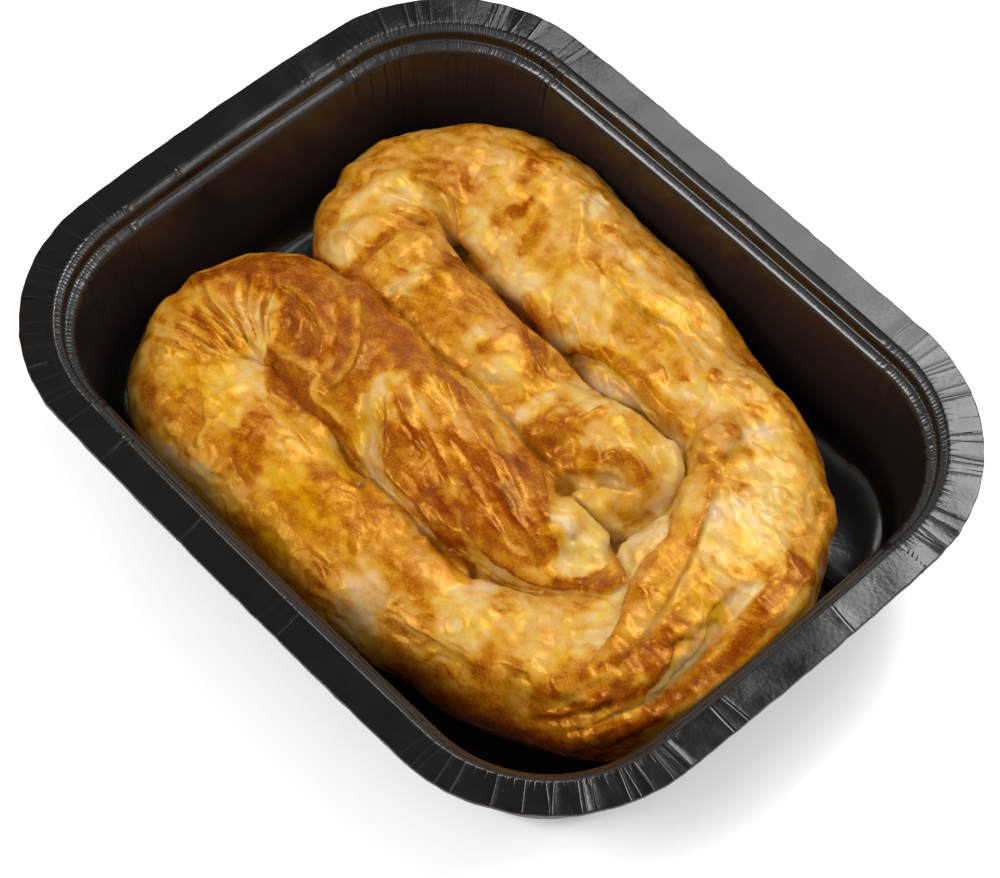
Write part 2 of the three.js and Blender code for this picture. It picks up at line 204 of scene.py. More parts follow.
RIDGES = [
    # crests of the long fold and the crescent, and fine folds beside them
    Ridge(0.7, 0.7, STRAW, [(-31.2, -23.5), (-32.4, -18.5), (-34, -14), (-37, -9.6), (-41.5, -5.4),
        (-46.5, -0.6)]),
    Ridge(0.6, 0.8, GOLD, [(-61, -11.6), (-54, -10.6), (-47.5, -11.8), (-43, -13.8), (-40, -18)]),
    Ridge(0.45, 0.45, CREAM, [(-48, -25.2), (-42, -23.8), (-36, -22.5), (-34, -24.5), (-31.5, -26.8),
        (-27, -26.6), (-20, -26.4)]),
    Ridge(0.5, 0.7, STRAW, [(-36.5, 1.5), (-29, 1.2), (-22, -0.8), (-17, -2.6)]),
    Ridge(0.5, 0.7, STRAW, [(-58, -4), (-51, -3), (-45, -5.5)]),
    Ridge(0.4, 0.7, GOLD, [(-29, -3), (-27, -9), (-27.5, -15), (-29, -21)]),
    # groove between the lower inner leg and the near rope, with two gaps; its brown is partly painted shade
    Ridge(1.5, 1.8, BROWN, [(-48, -28), (-44, -29.2), (-39, -30.2), (-33, -31), (-27, -31.2),
        (-20, -31.2)]),
    Ridge(-1.4, 2.0, BROWN, [(-20, -31.4), (-13.6, -32.2), (-7.5, -33.6)]),
    Ridge(-1.4, 1.4, BROWN, [(10, -32.5), (14, -32), (20, -32.3), (26, -32.3), (27.7, -30.6)]),
    # dark creases along the lower inner leg
    Ridge(-0.5, 0.8, DARK, [(-4, -11), (3, -11.8), (9, -11.6), (14, -11.2)]),
    Ridge(-0.4, 0.8, DARK, [(-16, -16.2), (-10, -17.4), (-3, -17.7)]),
    Ridge(0.5, 1.0, None, [(-17, -0.6), (-12, -3), (-6, -5.3), (3, -7.4), (10, -8)]),
    Ridge(0.4, 0.9, None, [(-15, -19), (-10, -21.5), (-4, -22.5)]),
    # folds across the ring of the far left turn
    Ridge(-0.8, 1.3, BROWN, [(-54.5, 18), (-55, 12), (-54, 6.5), (-51.5, 2.5)]),
    Ridge(0.7, 1.3, CREAM, [(-49, 17), (-48.5, 11), (-49.5, 6)]),
    Ridge(-0.5, 1.0, BROWN, [(-45.5, 18), (-46, 13), (-46.5, 8)]),
    Ridge(0.8, 1.6, CREAM, [(-41.5, 16), (-41, 10), (-42.5, 5)]),
    Ridge(-0.6, 1.1, BROWN, [(-38, 17.5), (-38.2, 12), (-38.5, 7)]),
    # folds on the far rope
    Ridge(-0.6, 1.0, BROWN, [(-57, 58), (-50, 59.3), (-44, 59.5)]),
    Ridge(0.7, 1.4, STRAW, [(-32.5, 58), (-28.5, 54), (-25, 50), (-21, 46)]),
    Ridge(-0.5, 0.9, AMBER, [(-31.5, 61), (-29.3, 57), (-25.5, 54.5)]),
    Ridge(-0.5, 0.9, BROWN, [(25, 56), (28, 54), (32, 53.5), (37, 54)]),
    Ridge(-0.5, 1.1, AMBER, [(61, 44), (66, 40), (71, 33)]),
    # round end: pale line and C-shaped crest
    Ridge(0.6, 1.1, GOLD, [(16, 11), (19, 8), (22, 4), (24, 0)]),
    Ridge(0.9, 1.8, BROWN, [(25, 14), (30, 15.5), (35, 13.5), (37, 10)]),
    # right-hand bend: dark seam, dome edge, layered edges below
    Ridge(-0.8, 0.9, DARK, [(64, 1), (64.3, -4), (65, -10), (66, -15), (67.2, -19)]),
    Ridge(-0.5, 0.9, AMBER, [(61.5, 1), (64, 4.6), (68, 5.6), (72, 3)]),
    Ridge(0.7, 0.8, GOLD, [(66.5, -24), (68.5, -31), (67, -39), (61.5, -46)]),
    Ridge(0.6, 0.7, GOLD, [(73, -29), (72.5, -36), (68.5, -43), (62, -49)]),
    Ridge(-0.5, 1.0, DARK, [(71, -26), (70.5, -34), (67.5, -41), (62.5, -47.5)]),
    # near rope: slanting fold, ring blister is apart
    Ridge(0.6, 1.2, STRAW, [(-11.5, -43), (-9, -46), (-6.5, -50)]),
    Ridge(-0.5, 0.8, BROWN, [(-10, -43), (-7.5, -46.5), (-5.5, -50)]),
]

# A patch is an area of one tone, raised or sunk by rise, with an edge of the given softness.
Patch = namedtuple("Patch", "tone rise edge marks")

PATCHES = [
    # near left turn: brown cap, fan, pale pinch, stripes, lower slope
    Patch(0.69, 0, 1.6, [(-77, -30), (-75, -14), (-66, -4), (-55, 3), (-40, 4), (-33, -4), (-30, -16),
        (-31, -24), (-37, -22), (-46, -23.5), (-50, -24), (-53, -19), (-58, -15.5), (-65, -17.5),
        (-70, -22)]),
    Patch(0.34, 0, 1.4, [(-71, -20), (-64, -17.5), (-58, -15.5), (-53, -18.5), (-50, -25), (-45, -32),
        (-40, -35), (-46, -40), (-58, -37), (-68, -36), (-73, -30)]),
    Patch(0.18, 0, 1.2, [(-57, -17), (-52, -20), (-49, -26), (-45, -32), (-40, -35), (-44, -38.5),
        (-50, -34), (-53, -27), (-58, -20)]),
    Patch(0.60, 0, 1.0, [(-70, -31), (-62, -31.5), (-54, -30.5), (-54, -33), (-60, -35), (-68, -34.5)]),
    Patch(0.38, 0, 2.0, [(-76, -36), (-66, -37), (-58, -40), (-57, -50), (-63, -54), (-70, -48)]),
    Patch(0.33, 0, 1.5, [(-57, -41), (-48, -39), (-40, -38), (-38, -46), (-42, -50), (-50, -45)]),
    Patch(0.50, 0, 1.4, [(-52, -46), (-46, -48.5), (-42, -52), (-41, -57), (-48, -60), (-57, -57),
        (-58, -50)]),
    Patch(0.66, 0, 1.2, [(-39, -38), (-35, -37.5), (-32, -42), (-28, -47), (-24, -50.5), (-24, -54),
        (-28, -56), (-33, -53), (-36.5, -48), (-38, -43)]),
    Patch(0.27, 0, 1.2, [(-50, -59.5), (-38, -58.5), (-28, -57), (-22, -60), (-30, -63), (-46, -64)]),
    Patch(0.36, 0, 1.5, [(-34, -34.5), (-24, -33.5), (-14, -34), (-14, -45), (-22, -50), (-28, -43)]),
    # deep recess between the near rope and the lower inner leg, and what lies right of the long fold
    Patch(0.67, 0, 1.5, [(-45, 1), (-38, -6), (-33.5, -13), (-31, -20), (-29, -25), (-23, -21),
        (-26, -12), (-22, -5), (-18, 1), (-30, 3.5)]),
    Patch(0.69, 0.6, 0.7, [(-50, -25), (-46, -24), (-41, -23.4), (-36, -22.8), (-33.5, -25.5),
        (-31, -27.3), (-24, -27), (-17, -27), (-12, -29.5), (-14, -32), (-20, -31.4), (-28, -32.2),
        (-34, -33.4), (-39.5, -34.4), (-44, -32), (-48, -28)]),
    Patch(0.24, 0, 1.5, [(-26, -10), (-22, -8), (-18, -11), (-19, -17), (-24, -18)]),
    # lower inner leg: brown sheet, pale valley below it, golden streak, brown band of painted shadow under
    # the sheet, tip
    Patch(0.65, 0, 1.2, [(-22, -2), (-10, 0), (0, 0.5), (10, 0), (16, -2), (22, -5), (28, -9.5),
        (34, -12), (38, -16), (36, -20), (28, -23), (18, -25.5), (14, -28.5), (4, -29), (-6, -28),
        (-11, -23), (-17, -17), (-22, -10)]),
    Patch(0.24, 0, 0.8, [(-26, -19), (-22, -17.5), (-16, -20.5), (-11, -26), (-6, -29.5), (2, -30.5),
        (10, -30.5), (15, -31), (10, -33), (0, -33), (-8, -32), (-14, -28.5), (-20, -23)]),
    Patch(0.44, 0, 1.2, [(-19, -4), (-8, -3.5), (2, -6.5), (4, -9), (-6, -9), (-16, -8)]),
    # brown band under the sheet: painted shadow
    Patch(0.72, 0, 1.0, [(14, -29), (22, -28.8), (27, -29.5), (27, -31.5), (20, -32.2), (14, -31.8)]),
    Patch(0.42, 0, 0.8, [(20, -27.2), (30, -26), (38, -24), (43, -20.5), (46, -19), (42, -24), (34, -28),
        (24, -30)]),
    Patch(0.04, -0.4, 1.9, [(34.5, -8), (40, -6), (46, -7), (46, -11), (43, -15.5), (39, -17),
        (35.5, -12.5)]),
    Patch(0.68, 0, 0.7, [(46, -10), (49, -8.5), (50, -11), (46, -17), (41, -20), (40, -18.5), (44, -15)]),
    Patch(0.1, 0.3, 0.6, [(27, -9.5), (30, -6), (33.5, -6), (35.5, -8), (34, -9.5), (31, -9)]),
    Patch(0.1, 0.2, 0.6, [(36.8, -8.5), (37, -5), (41, -4.5), (43, -6), (40, -8)]),
    # upper inner leg with three pale lumps
    Patch(0.46, 0, 2.0, [(-38, 22), (-28, 21.5), (-20, 22), (-8, 17.5), (0, 16), (3, 8), (0, 3), (-12, 3),
        (-26, 3.5), (-38, 5)]),
    Patch(0.16, 0.6, 1.2, [(-12, 13), (-8, 14.5), (-5, 12), (-5, 8), (-8, 6.5), (-12, 8)]),
    Patch(0.12, 0.4, 1.2, [(-21.5, 15), (-18, 16), (-17.5, 9), (-20, 8)]),
    Patch(0.13, 0.4, 1.0, [(2.5, 12), (5, 14), (6.5, 11), (5.5, 3), (3, 3)]),
    # round end
    Patch(0.29, 0, 1.5, [(14, 22), (22, 24.5), (34, 24.5), (41, 18), (45, 9), (43, 1), (36, -2), (26, -3),
        (20, 2), (14, 8), (12, 14)]),
    Patch(0.63, 0, 1.3, [(6, 3), (8, 10), (11, 14), (14.5, 20), (17, 17), (16, 12), (19, 7), (22, 1.5),
        (14, 0), (8, 0)]),
    Patch(0.55, 0, 1.0, [(23, 12.5), (26, 15.5), (31, 16.5), (36, 14), (38, 10.5), (35, 10), (30, 11),
        (25, 9), (21, 7), (20, 9)]),
    Patch(0.46, -2.2, 0.8, [(26, -3), (27.5, 1), (31, 5), (35.5, 9.5), (34, 10), (28, 8), (24, 4),
        (22, 1), (23.5, -2)]),
    Patch(0.40, 0, 1.0, [(35, 2.5), (40, 1.5), (43, 5), (42.5, 9), (38.5, 9.5), (35, 8)]),
    Patch(0.17, 1.0, 1.2, [(27, -3.5), (30, 3), (34, 7), (35, 3), (40, 1.2), (43.5, 0), (43.5, -4),
        (36, -6), (30, -5.5)]),
    Patch(0.0, 1.4, 1.2, [(33, 24.5), (39, 21.5), (43.5, 16), (46, 10), (45.5, 4), (43.8, 0), (41.8, 1),
        (43, 6), (42.6, 10), (40.5, 14.5), (36.5, 19), (31, 22)]),
    Patch(0.10, 2.2, 1.2, [(47, 12.5), (46, 8), (45, 4), (43.8, 0), (44, -3.5), (46.5, -4.5), (49.5, -2),
        (51, 1), (50.4, 5), (49, 9)]),
    # far left turn: bright roll, creases of the ring, sunk floor below the lip, dark patch, pale valley
    Patch(0.20, 0, 2.0, [(-70, 22), (-68, 31), (-63, 33), (-58, 30), (-60, 22), (-64, 14), (-62, 6),
        (-56, 2), (-62, 2), (-68, 12)]),
    Patch(0.26, 0, 1.5, [(-63, 20), (-57, 21), (-55, 12), (-53, 4), (-59, 3), (-63, 10)]),
    Patch(0.62, 0, 0.8, [(-56.5, 18), (-54, 17), (-53, 10), (-51, 3), (-53, 2.5), (-55.5, 8)]),
    Patch(0.13, 0, 0.8, [(-43.5, 16), (-41, 17), (-40.5, 10), (-41.5, 4), (-44, 5), (-43, 10)]),
    Patch(0.56, 0, 1.5, [(-39.5, 20), (-30, 20.5), (-24, 18), (-24, 6), (-32, 4), (-39, 5)]),
    Patch(0.4, -0.4, 0.8, [(-58, 31), (-54, 34), (-50, 33.2), (-45, 29.8), (-40.5, 27), (-38.5, 25),
        (-43, 25.3), (-47, 27.2), (-52, 29), (-56, 28.8)]),
    Patch(0.6, 0, 1.0, [(-65, 38), (-60, 42.5), (-56, 43), (-53, 40), (-49.5, 39.5), (-54, 38.3),
        (-60, 39)]),
    Patch(0.2, 0, 1.5, [(-50, 38), (-44, 40), (-36, 38), (-28, 37), (-20, 34), (-20, 27), (-30, 29),
        (-37, 28), (-43, 31)]),
    Patch(0.15, 0.5, 1.0, [(-30.5, 23.5), (-30.5, 28.5), (-24, 29.5), (-20, 28), (-22, 24.5), (-26, 23)]),
    Patch(0.34, 0, 2.0, [(-68, 46), (-58, 50), (-50, 56), (-40, 60), (-30, 58), (-22, 52), (-24, 44),
        (-34, 42), (-48, 43), (-60, 45)]),
    Patch(0.66, 0, 1.2, [(-49, 57), (-45, 57), (-44, 51), (-46, 49), (-48, 53)]),
    Patch(0.74, 0, 0.8, [(-41, 50), (-38.5, 47), (-38, 42), (-40.5, 40), (-42, 42), (-40, 46)]),
    Patch(0.56, 0, 1.2, [(-37, 50), (-33, 48.5), (-31.5, 43), (-34, 44), (-36, 47)]),
    Patch(0.55, 0, 1.0, [(-34, 44), (-30, 42), (-29, 36), (-32, 35), (-33.5, 39)]),
    Patch(0.0, 0, 1.0, [(-31.5, 60), (-27, 61), (-25, 57), (-27.5, 54), (-31, 57)]),
    Patch(0.45, 0, 1.2, [(-58, 57.5), (-50, 61), (-42, 62), (-42, 64), (-54, 62.5)]),
    # far rope: upper slope, brown and pale fields, golden lip over the sunk pocket, brown wedge, knob
    Patch(0.30, 0, 2.0, [(-20, 56), (0, 56), (20, 52), (36, 51), (50, 46), (48, 38), (30, 44), (10, 46),
        (-10, 45)]),
    Patch(0.42, 0, 1.2, [(-2, 41), (2, 45), (12, 46.5), (22, 44.5), (24, 40), (16, 37.5), (6, 38.5)]),
    Patch(0.18, 0, 1.5, [(23, 44), (28, 45), (35, 42), (35, 38), (28, 36), (20, 34), (22, 38)]),
    Patch(0.18, 0, 1.5, [(-18, 44), (-8, 45), (-2, 40), (-1, 34), (-8, 30), (-16, 32), (-18, 38)]),
    Patch(0.22, 1.8, 1.2, [(2.5, 20), (1.5, 23), (2, 26), (6, 28.5), (12, 29.7), (20, 29.6), (26, 27.6),
        (34, 25.6), (26, 26), (18, 24.4), (10, 22), (5, 20)]),
    Patch(0.50, 0.5, 1.0, [(-3, 24), (-1.5, 28.5), (1, 31.5), (6, 33.4), (13, 34), (22, 32.3), (30, 31),
        (34, 29), (30, 28.4), (24, 29.3), (18, 30.2), (10, 30.2), (4, 29), (0, 26.5), (-1.5, 23.5)]),
    Patch(0.56, -1.6, 1.2, [(-5, 19), (-2, 21.5), (4, 21.8), (9, 21.9), (9, 20.6), (4, 18.6), (0.5, 16.8),
        (-2, 17)]),
    Patch(0.70, 0, 1.0, [(-26, 23), (-16, 24.5), (-8, 21), (-1, 17.5), (-2, 16), (-10, 18.5), (-18, 22),
        (-26, 22)]),
    Patch(0.68, 0.8, 0.8, [(-20, 30), (-15, 28), (-9, 24), (-4, 20), (-8, 20.5), (-14, 24.5), (-20, 28)]),
    Patch(0.38, 0.8, 1.0, [(36, 36), (41, 36.5), (43, 33), (43, 28), (38, 26), (36, 29)]),
    Patch(0.58, 0.5, 0.6, [(36.5, 37.5), (39, 39), (42, 38), (42, 36.5), (39, 36.3)]),
    # right-hand bend: pale field, strap, dome, two sunk pockets, outer band, brown wedge, golden crest
    Patch(0.17, 0, 2.0, [(50, 44), (58, 40), (66, 30), (72, 20), (72, 12), (66, 10), (58, 8), (54, 14),
        (50, 24), (46, 32)]),
    Patch(0.28, 0, 2.0, [(38, -27), (48, -22), (56, -14), (59.5, -19), (60, -27), (57, -36), (50, -42),
        (40, -44), (30, -42), (30, -34)]),
    Patch(0.46, 1.1, 0.8, [(40, 27.5), (42.5, 22), (46, 16), (49.5, 9), (51.5, 2), (53, -5), (56, -12),
        (59.5, -18), (61, -25), (60, -33), (57.5, -37), (62, -38), (65, -33), (66, -26), (65, -18),
        (63, -10), (60.5, -2), (57.5, 6), (53.5, 15), (49, 23), (45, 28.5)]),
    Patch(0.29, 0.6, 1.2, [(61.5, 3), (64, 5.5), (69, 5.5), (72, 2), (71, -3), (67, -4.5), (62.5, -3)]),
    Patch(0.12, -0.8, 0.7, [(69.5, 5), (70.5, 12.5), (73, 12.5), (74.3, 6), (74.5, 2.5), (72, 3.5)]),
    Patch(0.24, -0.9, 1.2, [(72, -1), (74.5, -2), (76.8, -12), (77.6, -20), (76.5, -26), (74.5, -21),
        (72, -14), (70, -8)]),
    Patch(0.70, 0.6, 0.8, [(70, 24), (74, 20), (76, 10), (78, 0), (79, -12), (78.8, -22), (76, -32),
        (71, -42), (66, -48), (69, -49), (75, -42), (80, -30), (82, -14), (82, 0), (80, 12), (78, 24)]),
    Patch(0.82, 0, 1.0, [(65, -9), (69, -10), (72.5, -15), (74, -22), (72, -31), (67, -40), (64.5, -42),
        (67, -32), (67.5, -22), (66, -15)]),
    Patch(0.60, 0.2, 1.0, [(63, -27), (66.5, -28), (66, -34), (62, -40), (60, -39), (62, -33)]),
    Patch(0.44, 0, 1.0, [(35, -30), (39.5, -30.5), (40, -34), (36.5, -35), (34.5, -33)]),
    Patch(0.5, 0, 1.5, [(43, -41), (52, -40), (55, -43), (52, -48), (45, -49), (42, -45)]),
    # the shaded bottom right: darker brown, partly painted shade
    Patch(0.78, 0, 2.5, [(34, -59), (46, -55), (57, -51), (66, -46), (73, -38), (79, -30), (80, -40),
        (70, -55), (50, -62), (34, -63)]),
    # near rope
    Patch(0.50, 0, 1.5, [(-20, -38), (-10, -37), (-6, -46), (-2, -56), (-4, -63), (-22, -63), (-20, -52),
        (-16, -46)]),
    Patch(0.56, 0, 1.2, [(-9, -33.5), (-4, -34), (4, -35), (4, -42), (-2, -47), (-6, -42), (-9, -38)]),
    Patch(0.26, 0, 1.5, [(8, -47), (13, -48), (19, -50), (22, -55), (26, -61), (20, -62), (12, -57),
        (8, -53)]),
    Patch(0.63, 0, 1.0, [(10, -41.5), (20, -42), (27, -44), (30, -47), (26, -47.5), (18, -44.5),
        (10, -44)]),
    Patch(0.20, 0, 1.5, [(26, -37), (33, -34), (40, -38), (40, -46), (34, -49), (30, -45), (24, -40)]),
    Patch(0.50, 0, 2.0, [(-20, -57), (0, -57), (8, -59), (8, -64), (-20, -64)]),
]

# Blotches of lighter and darker crust: tone, then (u, v, half length, half width, slant in degrees).
BLOTCHES = [
    (PALE, [
        (-24, -14, 4, 3.5, -60), (-18, -25, 6, 2, -35), (-6, -30, 7, 1.6, -10), (8, -31, 6, 1.2, -5),
        (28, -27, 8, 1.5, 12), (-45, -61.5, 6, 2, 0), (-34, -61, 5, 2, 0), (-60, 9, 2.6, 5, 10),
        (-57, 4, 3.5, 2.5, -40), (-18, 33, 4, 2, 20), (-5, 25.5, 2, 3, 0), (43, 45, 5, 4, 0),
        (75, -12, 1.8, 11, -3), (75.5, -24, 1.5, 5, 10), (30, -6, 4, 2.6, 0), (28, 1.5, 3, 4, -40),
        (31, 8, 3, 3, 0), (52, -10, 1.2, 6, 15), (31.5, -34, 3.5, 3, 0), (15, -51, 6, 4, 0),
        (16, -56.5, 5, 3, 0), (33.5, 26.3, 2, 1.2, 0),
    ]),
    (CREAM, [
        (41, -12, 4, 4, 0), (41, 15, 2, 4, 20), (8, 18.3, 5, 1.6, 20), (61, 3, 2.5, 2, 0),
        (-55, 54, 5, 3, 0),
    ]),
    (STRAW, [
        (-27, -56, 5, 2.5, -15), (-12, -9, 5, 3, -10), (-20, -11, 3, 3, 0), (64.5, -31, 1.6, 7, -22),
        (80, 14, 1.4, 6, 5), (50, 41, 4, 3, 0), (-3, -42, 1.8, 1.5, 0),
    ]),
    (AMBER, [
        (-65, -31, 3, 1, 10), (-72, 30, 1.8, 6, 0), (-70, 19, 1.6, 5, -20), (-52, 58.6, 6, 1.6, 10),
        (-58, 20, 3, 3, 0), (-54, 23.6, 4, 1.6, 10), (4, 41, 4, 3, 0), (12, 42, 4, 2.5, 0),
        (-22, 56, 3, 4, 0), (-2, 58, 3, 2, 0), (20, 57.5, 6, 1.6, -5), (13, 53, 1.5, 1.5, 0),
        (53, 48, 4, 1.6, -20), (47, 27.5, 3, 1, 20), (53, 29.5, 2.6, 1.4, 0), (46, 36.5, 3, 1, -10),
        (66, 1, 4, 3.5, 0), (60, -27, 1.8, 6, 5), (69, -15, 2.5, 4, 20), (37, -32, 2.4, 2.4, 0),
        (22, -37, 4, 1.2, 0), (2, -56, 6, 3, 0), (30, -54, 8, 3, 5), (8, -50, 3, 2, 0),
        (36, 4, 2.6, 3, 0), (38, 11, 2, 2, 0), (72, 29, 3, 3, 0), (50, -40, 4, 1.4, -10),
    ]),
    (BROWN, [
        (-50, -55, 3, 1.6, 0), (-16, 12, 1.6, 4, 0), (-3, 14, 2.6, 1.8, 0), (31, 14.6, 6, 1.5, 0),
        (22, 8.5, 3, 2.4, 0), (2.5, 46.4, 1.8, 1, 15), (22, 39.5, 1.4, 1, 0), (39.5, 44, 1.5, 1.8, 0),
        (36.8, 28, 1, 1.6, 0), (54, 7.5, 2.4, 2, 30), (56, -1, 2.4, 3, 0), (56.5, -7, 1.8, 3, 10),
        (67, -6.8, 3, 1.2, 0), (79, 22, 2.6, 4, 10), (69, 16.5, 3, 2, 0), (66, 12.7, 3, 1.4, 0),
        (59, -34, 2.6, 5, -15), (45, -43.5, 2.4, 1.4, 0), (47, -47.3, 4, 2.4, -10), (55, -50, 6, 3, 10),
        (82.5, 0, 1.4, 7, 0), (40, 28, 2.4, 1, 10), (-62.5, 38.6, 1.6, 1.4, 0),
    ]),
    (DARK, [
        (-50, -17.5, 3.4, 3, -40), (-45, -19.5, 4, 2, -15), (20, -13, 5, 2.4, -10), (27, -13, 3, 2.4, 0),
        (12, -3.2, 3, 1.5, -20), (12, -22, 6, 1.6, -8), (47.3, -11, 1.8, 2.6, -35),
        (-39.5, 21.5, 4, 1.4, 0), (15, 4.2, 3.4, 2, -10), (25, 45.8, 2.4, 1, 0),
        (32.5, 48.9, 2.4, 0.9, 5), (39.5, 52, 1, 0.8, 0), (-1.6, 25.8, 0.9, 1.6, 0),
        # the blotch at (64, -44) is partly painted shade between the bands at the bottom right
        (66.5, -17, 1, 4, 15), (64, -44, 6, 3, 40), (-53, 39.5, 3, 1.2, 0),
    ]),
    (SCORCHED, [
        (5, -24.6, 4.5, 1.8, -10), (11, -25.4, 3, 1.2, 0), (15, -4.5, 1.6, 1, -30),
        (-38.5, 20.6, 2, 1, 0),
    ]),
    # the same again, where the first ones are too weak
    (RAW, [
        (57.5, -21, 4, 2.5, 70), (45, 40, 4, 2, 40), (-3.5, 28, 6, 2, 62), (47, 16, 4, 3, 0),
        (55, 22, 6, 4, 30), (10, 20, 7, 3, 25), (66, 8, 5, 1.8, 18), (33, -32, 4, 2, 50),
        (56, 35, 3, 1.6, -25), (60, 28.5, 8, 2.4, -55), (53, -14, 2.4, 8, 0), (73, -9, 2, 4, 0),
        (43, 40.5, 4, 2, 40), (46, 40.7, 4, 2.6, 55), (10, 23.5, 9, 3, 28), (57.7, -22, 3.4, 2.6, 46),
        (52, 17, 7, 2, -50), (-5.4, 24.7, 3, 2, -11),
    ]),
    (PALE, [
        (79.5, 16, 2, 4, 0), (-56, 50, 7.5, 3, -12), (30.5, -10.8, 2.2, 1.8, 0), (41.6, -45, 3.3, 1.8, 0),
        (-40, 9.6, 1.4, 5, 0), (-15, -17, 3, 1.2, -30), (13, 18, 3, 1.6, 30), (71, -23.5, 1.8, 3, -15),
        (-24, 57.6, 2, 2, 0), (-59, 28, 6, 3.5, 14), (-10, 57, 2, 1.6, 0), (6.5, 51, 1.4, 5, 0),
        (-47, -37.5, 5, 1.8, -9), (41, 16, 8, 4, 60), (-20.4, 31.3, 4, 9, 0), (-0.7, 33, 3.6, 2.3, 21),
        (-23.6, 42, 2.4, 2, -42), (-59, -23, 3.4, 2.3, 10), (-10, 5.5, 5, 2, 36), (48, -5, 8, 4, 34),
    ]),
    (CREAM, [
        (-22, -58, 3, 2.3, -27), (-1, 0.5, 11, 3.5, -18), (68, 39, 3.5, 2.3, -50), (66.6, -1, 2, 2.5, 0),
        (-42, 62, 3, 2, -20), (14.5, 40.3, 3, 2.5, -60), (-15, -31.5, 10, 4, 9), (-10, -6, 5, 1, -20),
        (-15, -9, 3, 1.2, -30), (8, -20.5, 4, 0.9, -12), (17, -18.5, 4, 0.9, -10), (28, -20.5, 5, 0.9, 8),
        (2, -13.2, 3, 0.7, 0), (60.7, -16, 8, 3, 60),
    ]),
    (STRAW, [
        (-37, -19, 2.5, 1.5, -40), (-12.5, -13.7, 7, 3, 36), (6, -3, 6, 4, 16),
        (-34.5, -20, 4.5, 1.6, -22), (29, 54.5, 2.4, 1.6, 10), (78.5, 6.4, 4, 1.8, -88),
        (-8, -10, 3.6, 1.5, -18),
    ]),
    (GOLD, [
        (78, 6, 1.6, 4, 0), (15, -57.6, 3, 2, -36), (-33, -61, 3.4, 1.6, 0), (-33, 31.5, 2, 2.2, 0),
        (-26, 34, 2.5, 2, 0), (-17, 26, 3.4, 1.8, -16),
    ]),
    (AMBER, [
        (51, 28, 2.6, 1.8, -18), (-12.7, 44.7, 5, 2, 38), (26.8, 43.7, 4.4, 2.3, 41),
        (-11.6, 31.2, 2.8, 1.6, 6), (-20, -24, 3.4, 3, -17), (-62, 18.5, 4.5, 2.8, 5),
        (38, 45.5, 3.7, 2.3, 40), (73, 4.3, 1.7, 1.6, 0), (-12, 13.4, 2.2, 1.7, 0),
        (-48.6, 37, 3.5, 1.8, 22), (-1.7, 46.5, 4.7, 2.2, -39), (-20, 15, 2.4, 1.3, 24),
        (40, 46, 4.4, 2.6, 38),
    ]),
    (BROWN, [
        (72, 17.7, 2.7, 4.1, 10), (-41, 39, 2.4, 2.4, 0), (7.5, -31, 4.5, 2.8, 24),
        (76, 29, 1.4, 3.5, 20), (-67, 9, 2.1, 3, 30), (-63, 35, 5.4, 2.3, 51),
        (-59, -53.5, 7.5, 2.3, -30), (-69.3, -22.4, 3.4, 2.1, 51), (16.3, 11.3, 2.2, 2, 0),
        (24.6, 6, 3, 2, -43), (-73.8, 28.4, 1.6, 2.4, 0), (-3, -55.4, 3, 2.5, 24), (6, -32, 5, 2, 8),
        (40.7, -53, 4, 2.4, 10), (-73, -40, 1.8, 2.6, 20), (-39, 19, 3, 1.2, 10), (-46, 7.4, 1.7, 1.7, 0),
        (69.5, 17, 4, 2.4, 88), (51, 28, 3, 2.6, -44), (69, -15, 12, 3, 68), (-40.6, 38.5, 3.3, 2.6, 59),
    ]),
    (DARK, [
        (79.7, -26.7, 1.9, 3.3, -12), (65.8, -22.3, 5.5, 1.6, 53), (-54, -17, 4, 2.9, -47),
        (-30.7, -28.5, 2.6, 1.8, 14), (81, -5, 1.9, 5, 0), (59.6, -40, 2.5, 4, 0),
        (19.7, -27.5, 5.2, 1.3, 0), (-31.7, -31.2, 5, 2.3, 46), (9.4, -28.9, 3.5, 2, -18),
        (-52.6, -17.6, 6, 3, -65),
    ]),
    (SCORCHED, [
        (16, -12.6, 7, 2.4, -4), (15.3, 3.3, 2.1, 1.5, -47), (3, -24.7, 3, 1.5, -31),
        (24, -13.5, 4, 2, -10), (13, -4.5, 3.5, 1.4, -35), (7, -24, 4, 1.8, -15), (10, -17, 5, 0.9, -5),
        (-8, -17, 5, 0.8, -5), (19, -12, 5, 2, -34),
    ]),
]

# Small hollows where the dough parts: (u, v, radius, depth).
HOLLOWS = [
    (-39.7, 24.8, 1.4, 3.0), (36, -8.9, 0.8, 1.0), (48, -3.4, 0.9, 1.4), (-7.6, -33.8, 1.3, 2.0),
    (27.4, -31, 1.2, 1.6), (-45.5, 53.5, 2.6, 0.8), (15, 4.5, 3.2, 1.0), (39.5, -13, 3.0, 0.9),
    (30, 8, 3.2, 1.2), (24.5, -1.5, 2.2, 1.0), (43.2, -2, 0.9, 1.0),
]

# Low swellings: (u, v, radius, rise).
SWELLINGS = [
    (-63, 27, 3.5, 1.0), (-42, 53, 2.8, 0.6), (66, 1.5, 4.5, 0.9), (60, 33, 3.5, 0.5),
    (37.5, 33, 3.0, 0.8), (30, -6, 2.6, 0.3), (39.5, -5, 2.4, 0.3), (-8.5, 10.5, 3.2, 0.7),
    (-19.5, 12, 2.2, 0.5), (47, -47, 3.0, 0.4), (50, -32, 4, 0.6), (20.7, 15, 2.6, 0.5),
    (2, -34.3, 1.2, 0.7), (13.5, -33.2, 1.0, 1.0), (-6.8, -32.8, 0.9, 0.9), (1.0, -45, 3, 0.4),
    (61, 3, 1.8, 0.5), (47, 31, 2.4, 0.5), (-16, 52, 4, 0.4), (40.5, 37, 1.8, 0.8),
]
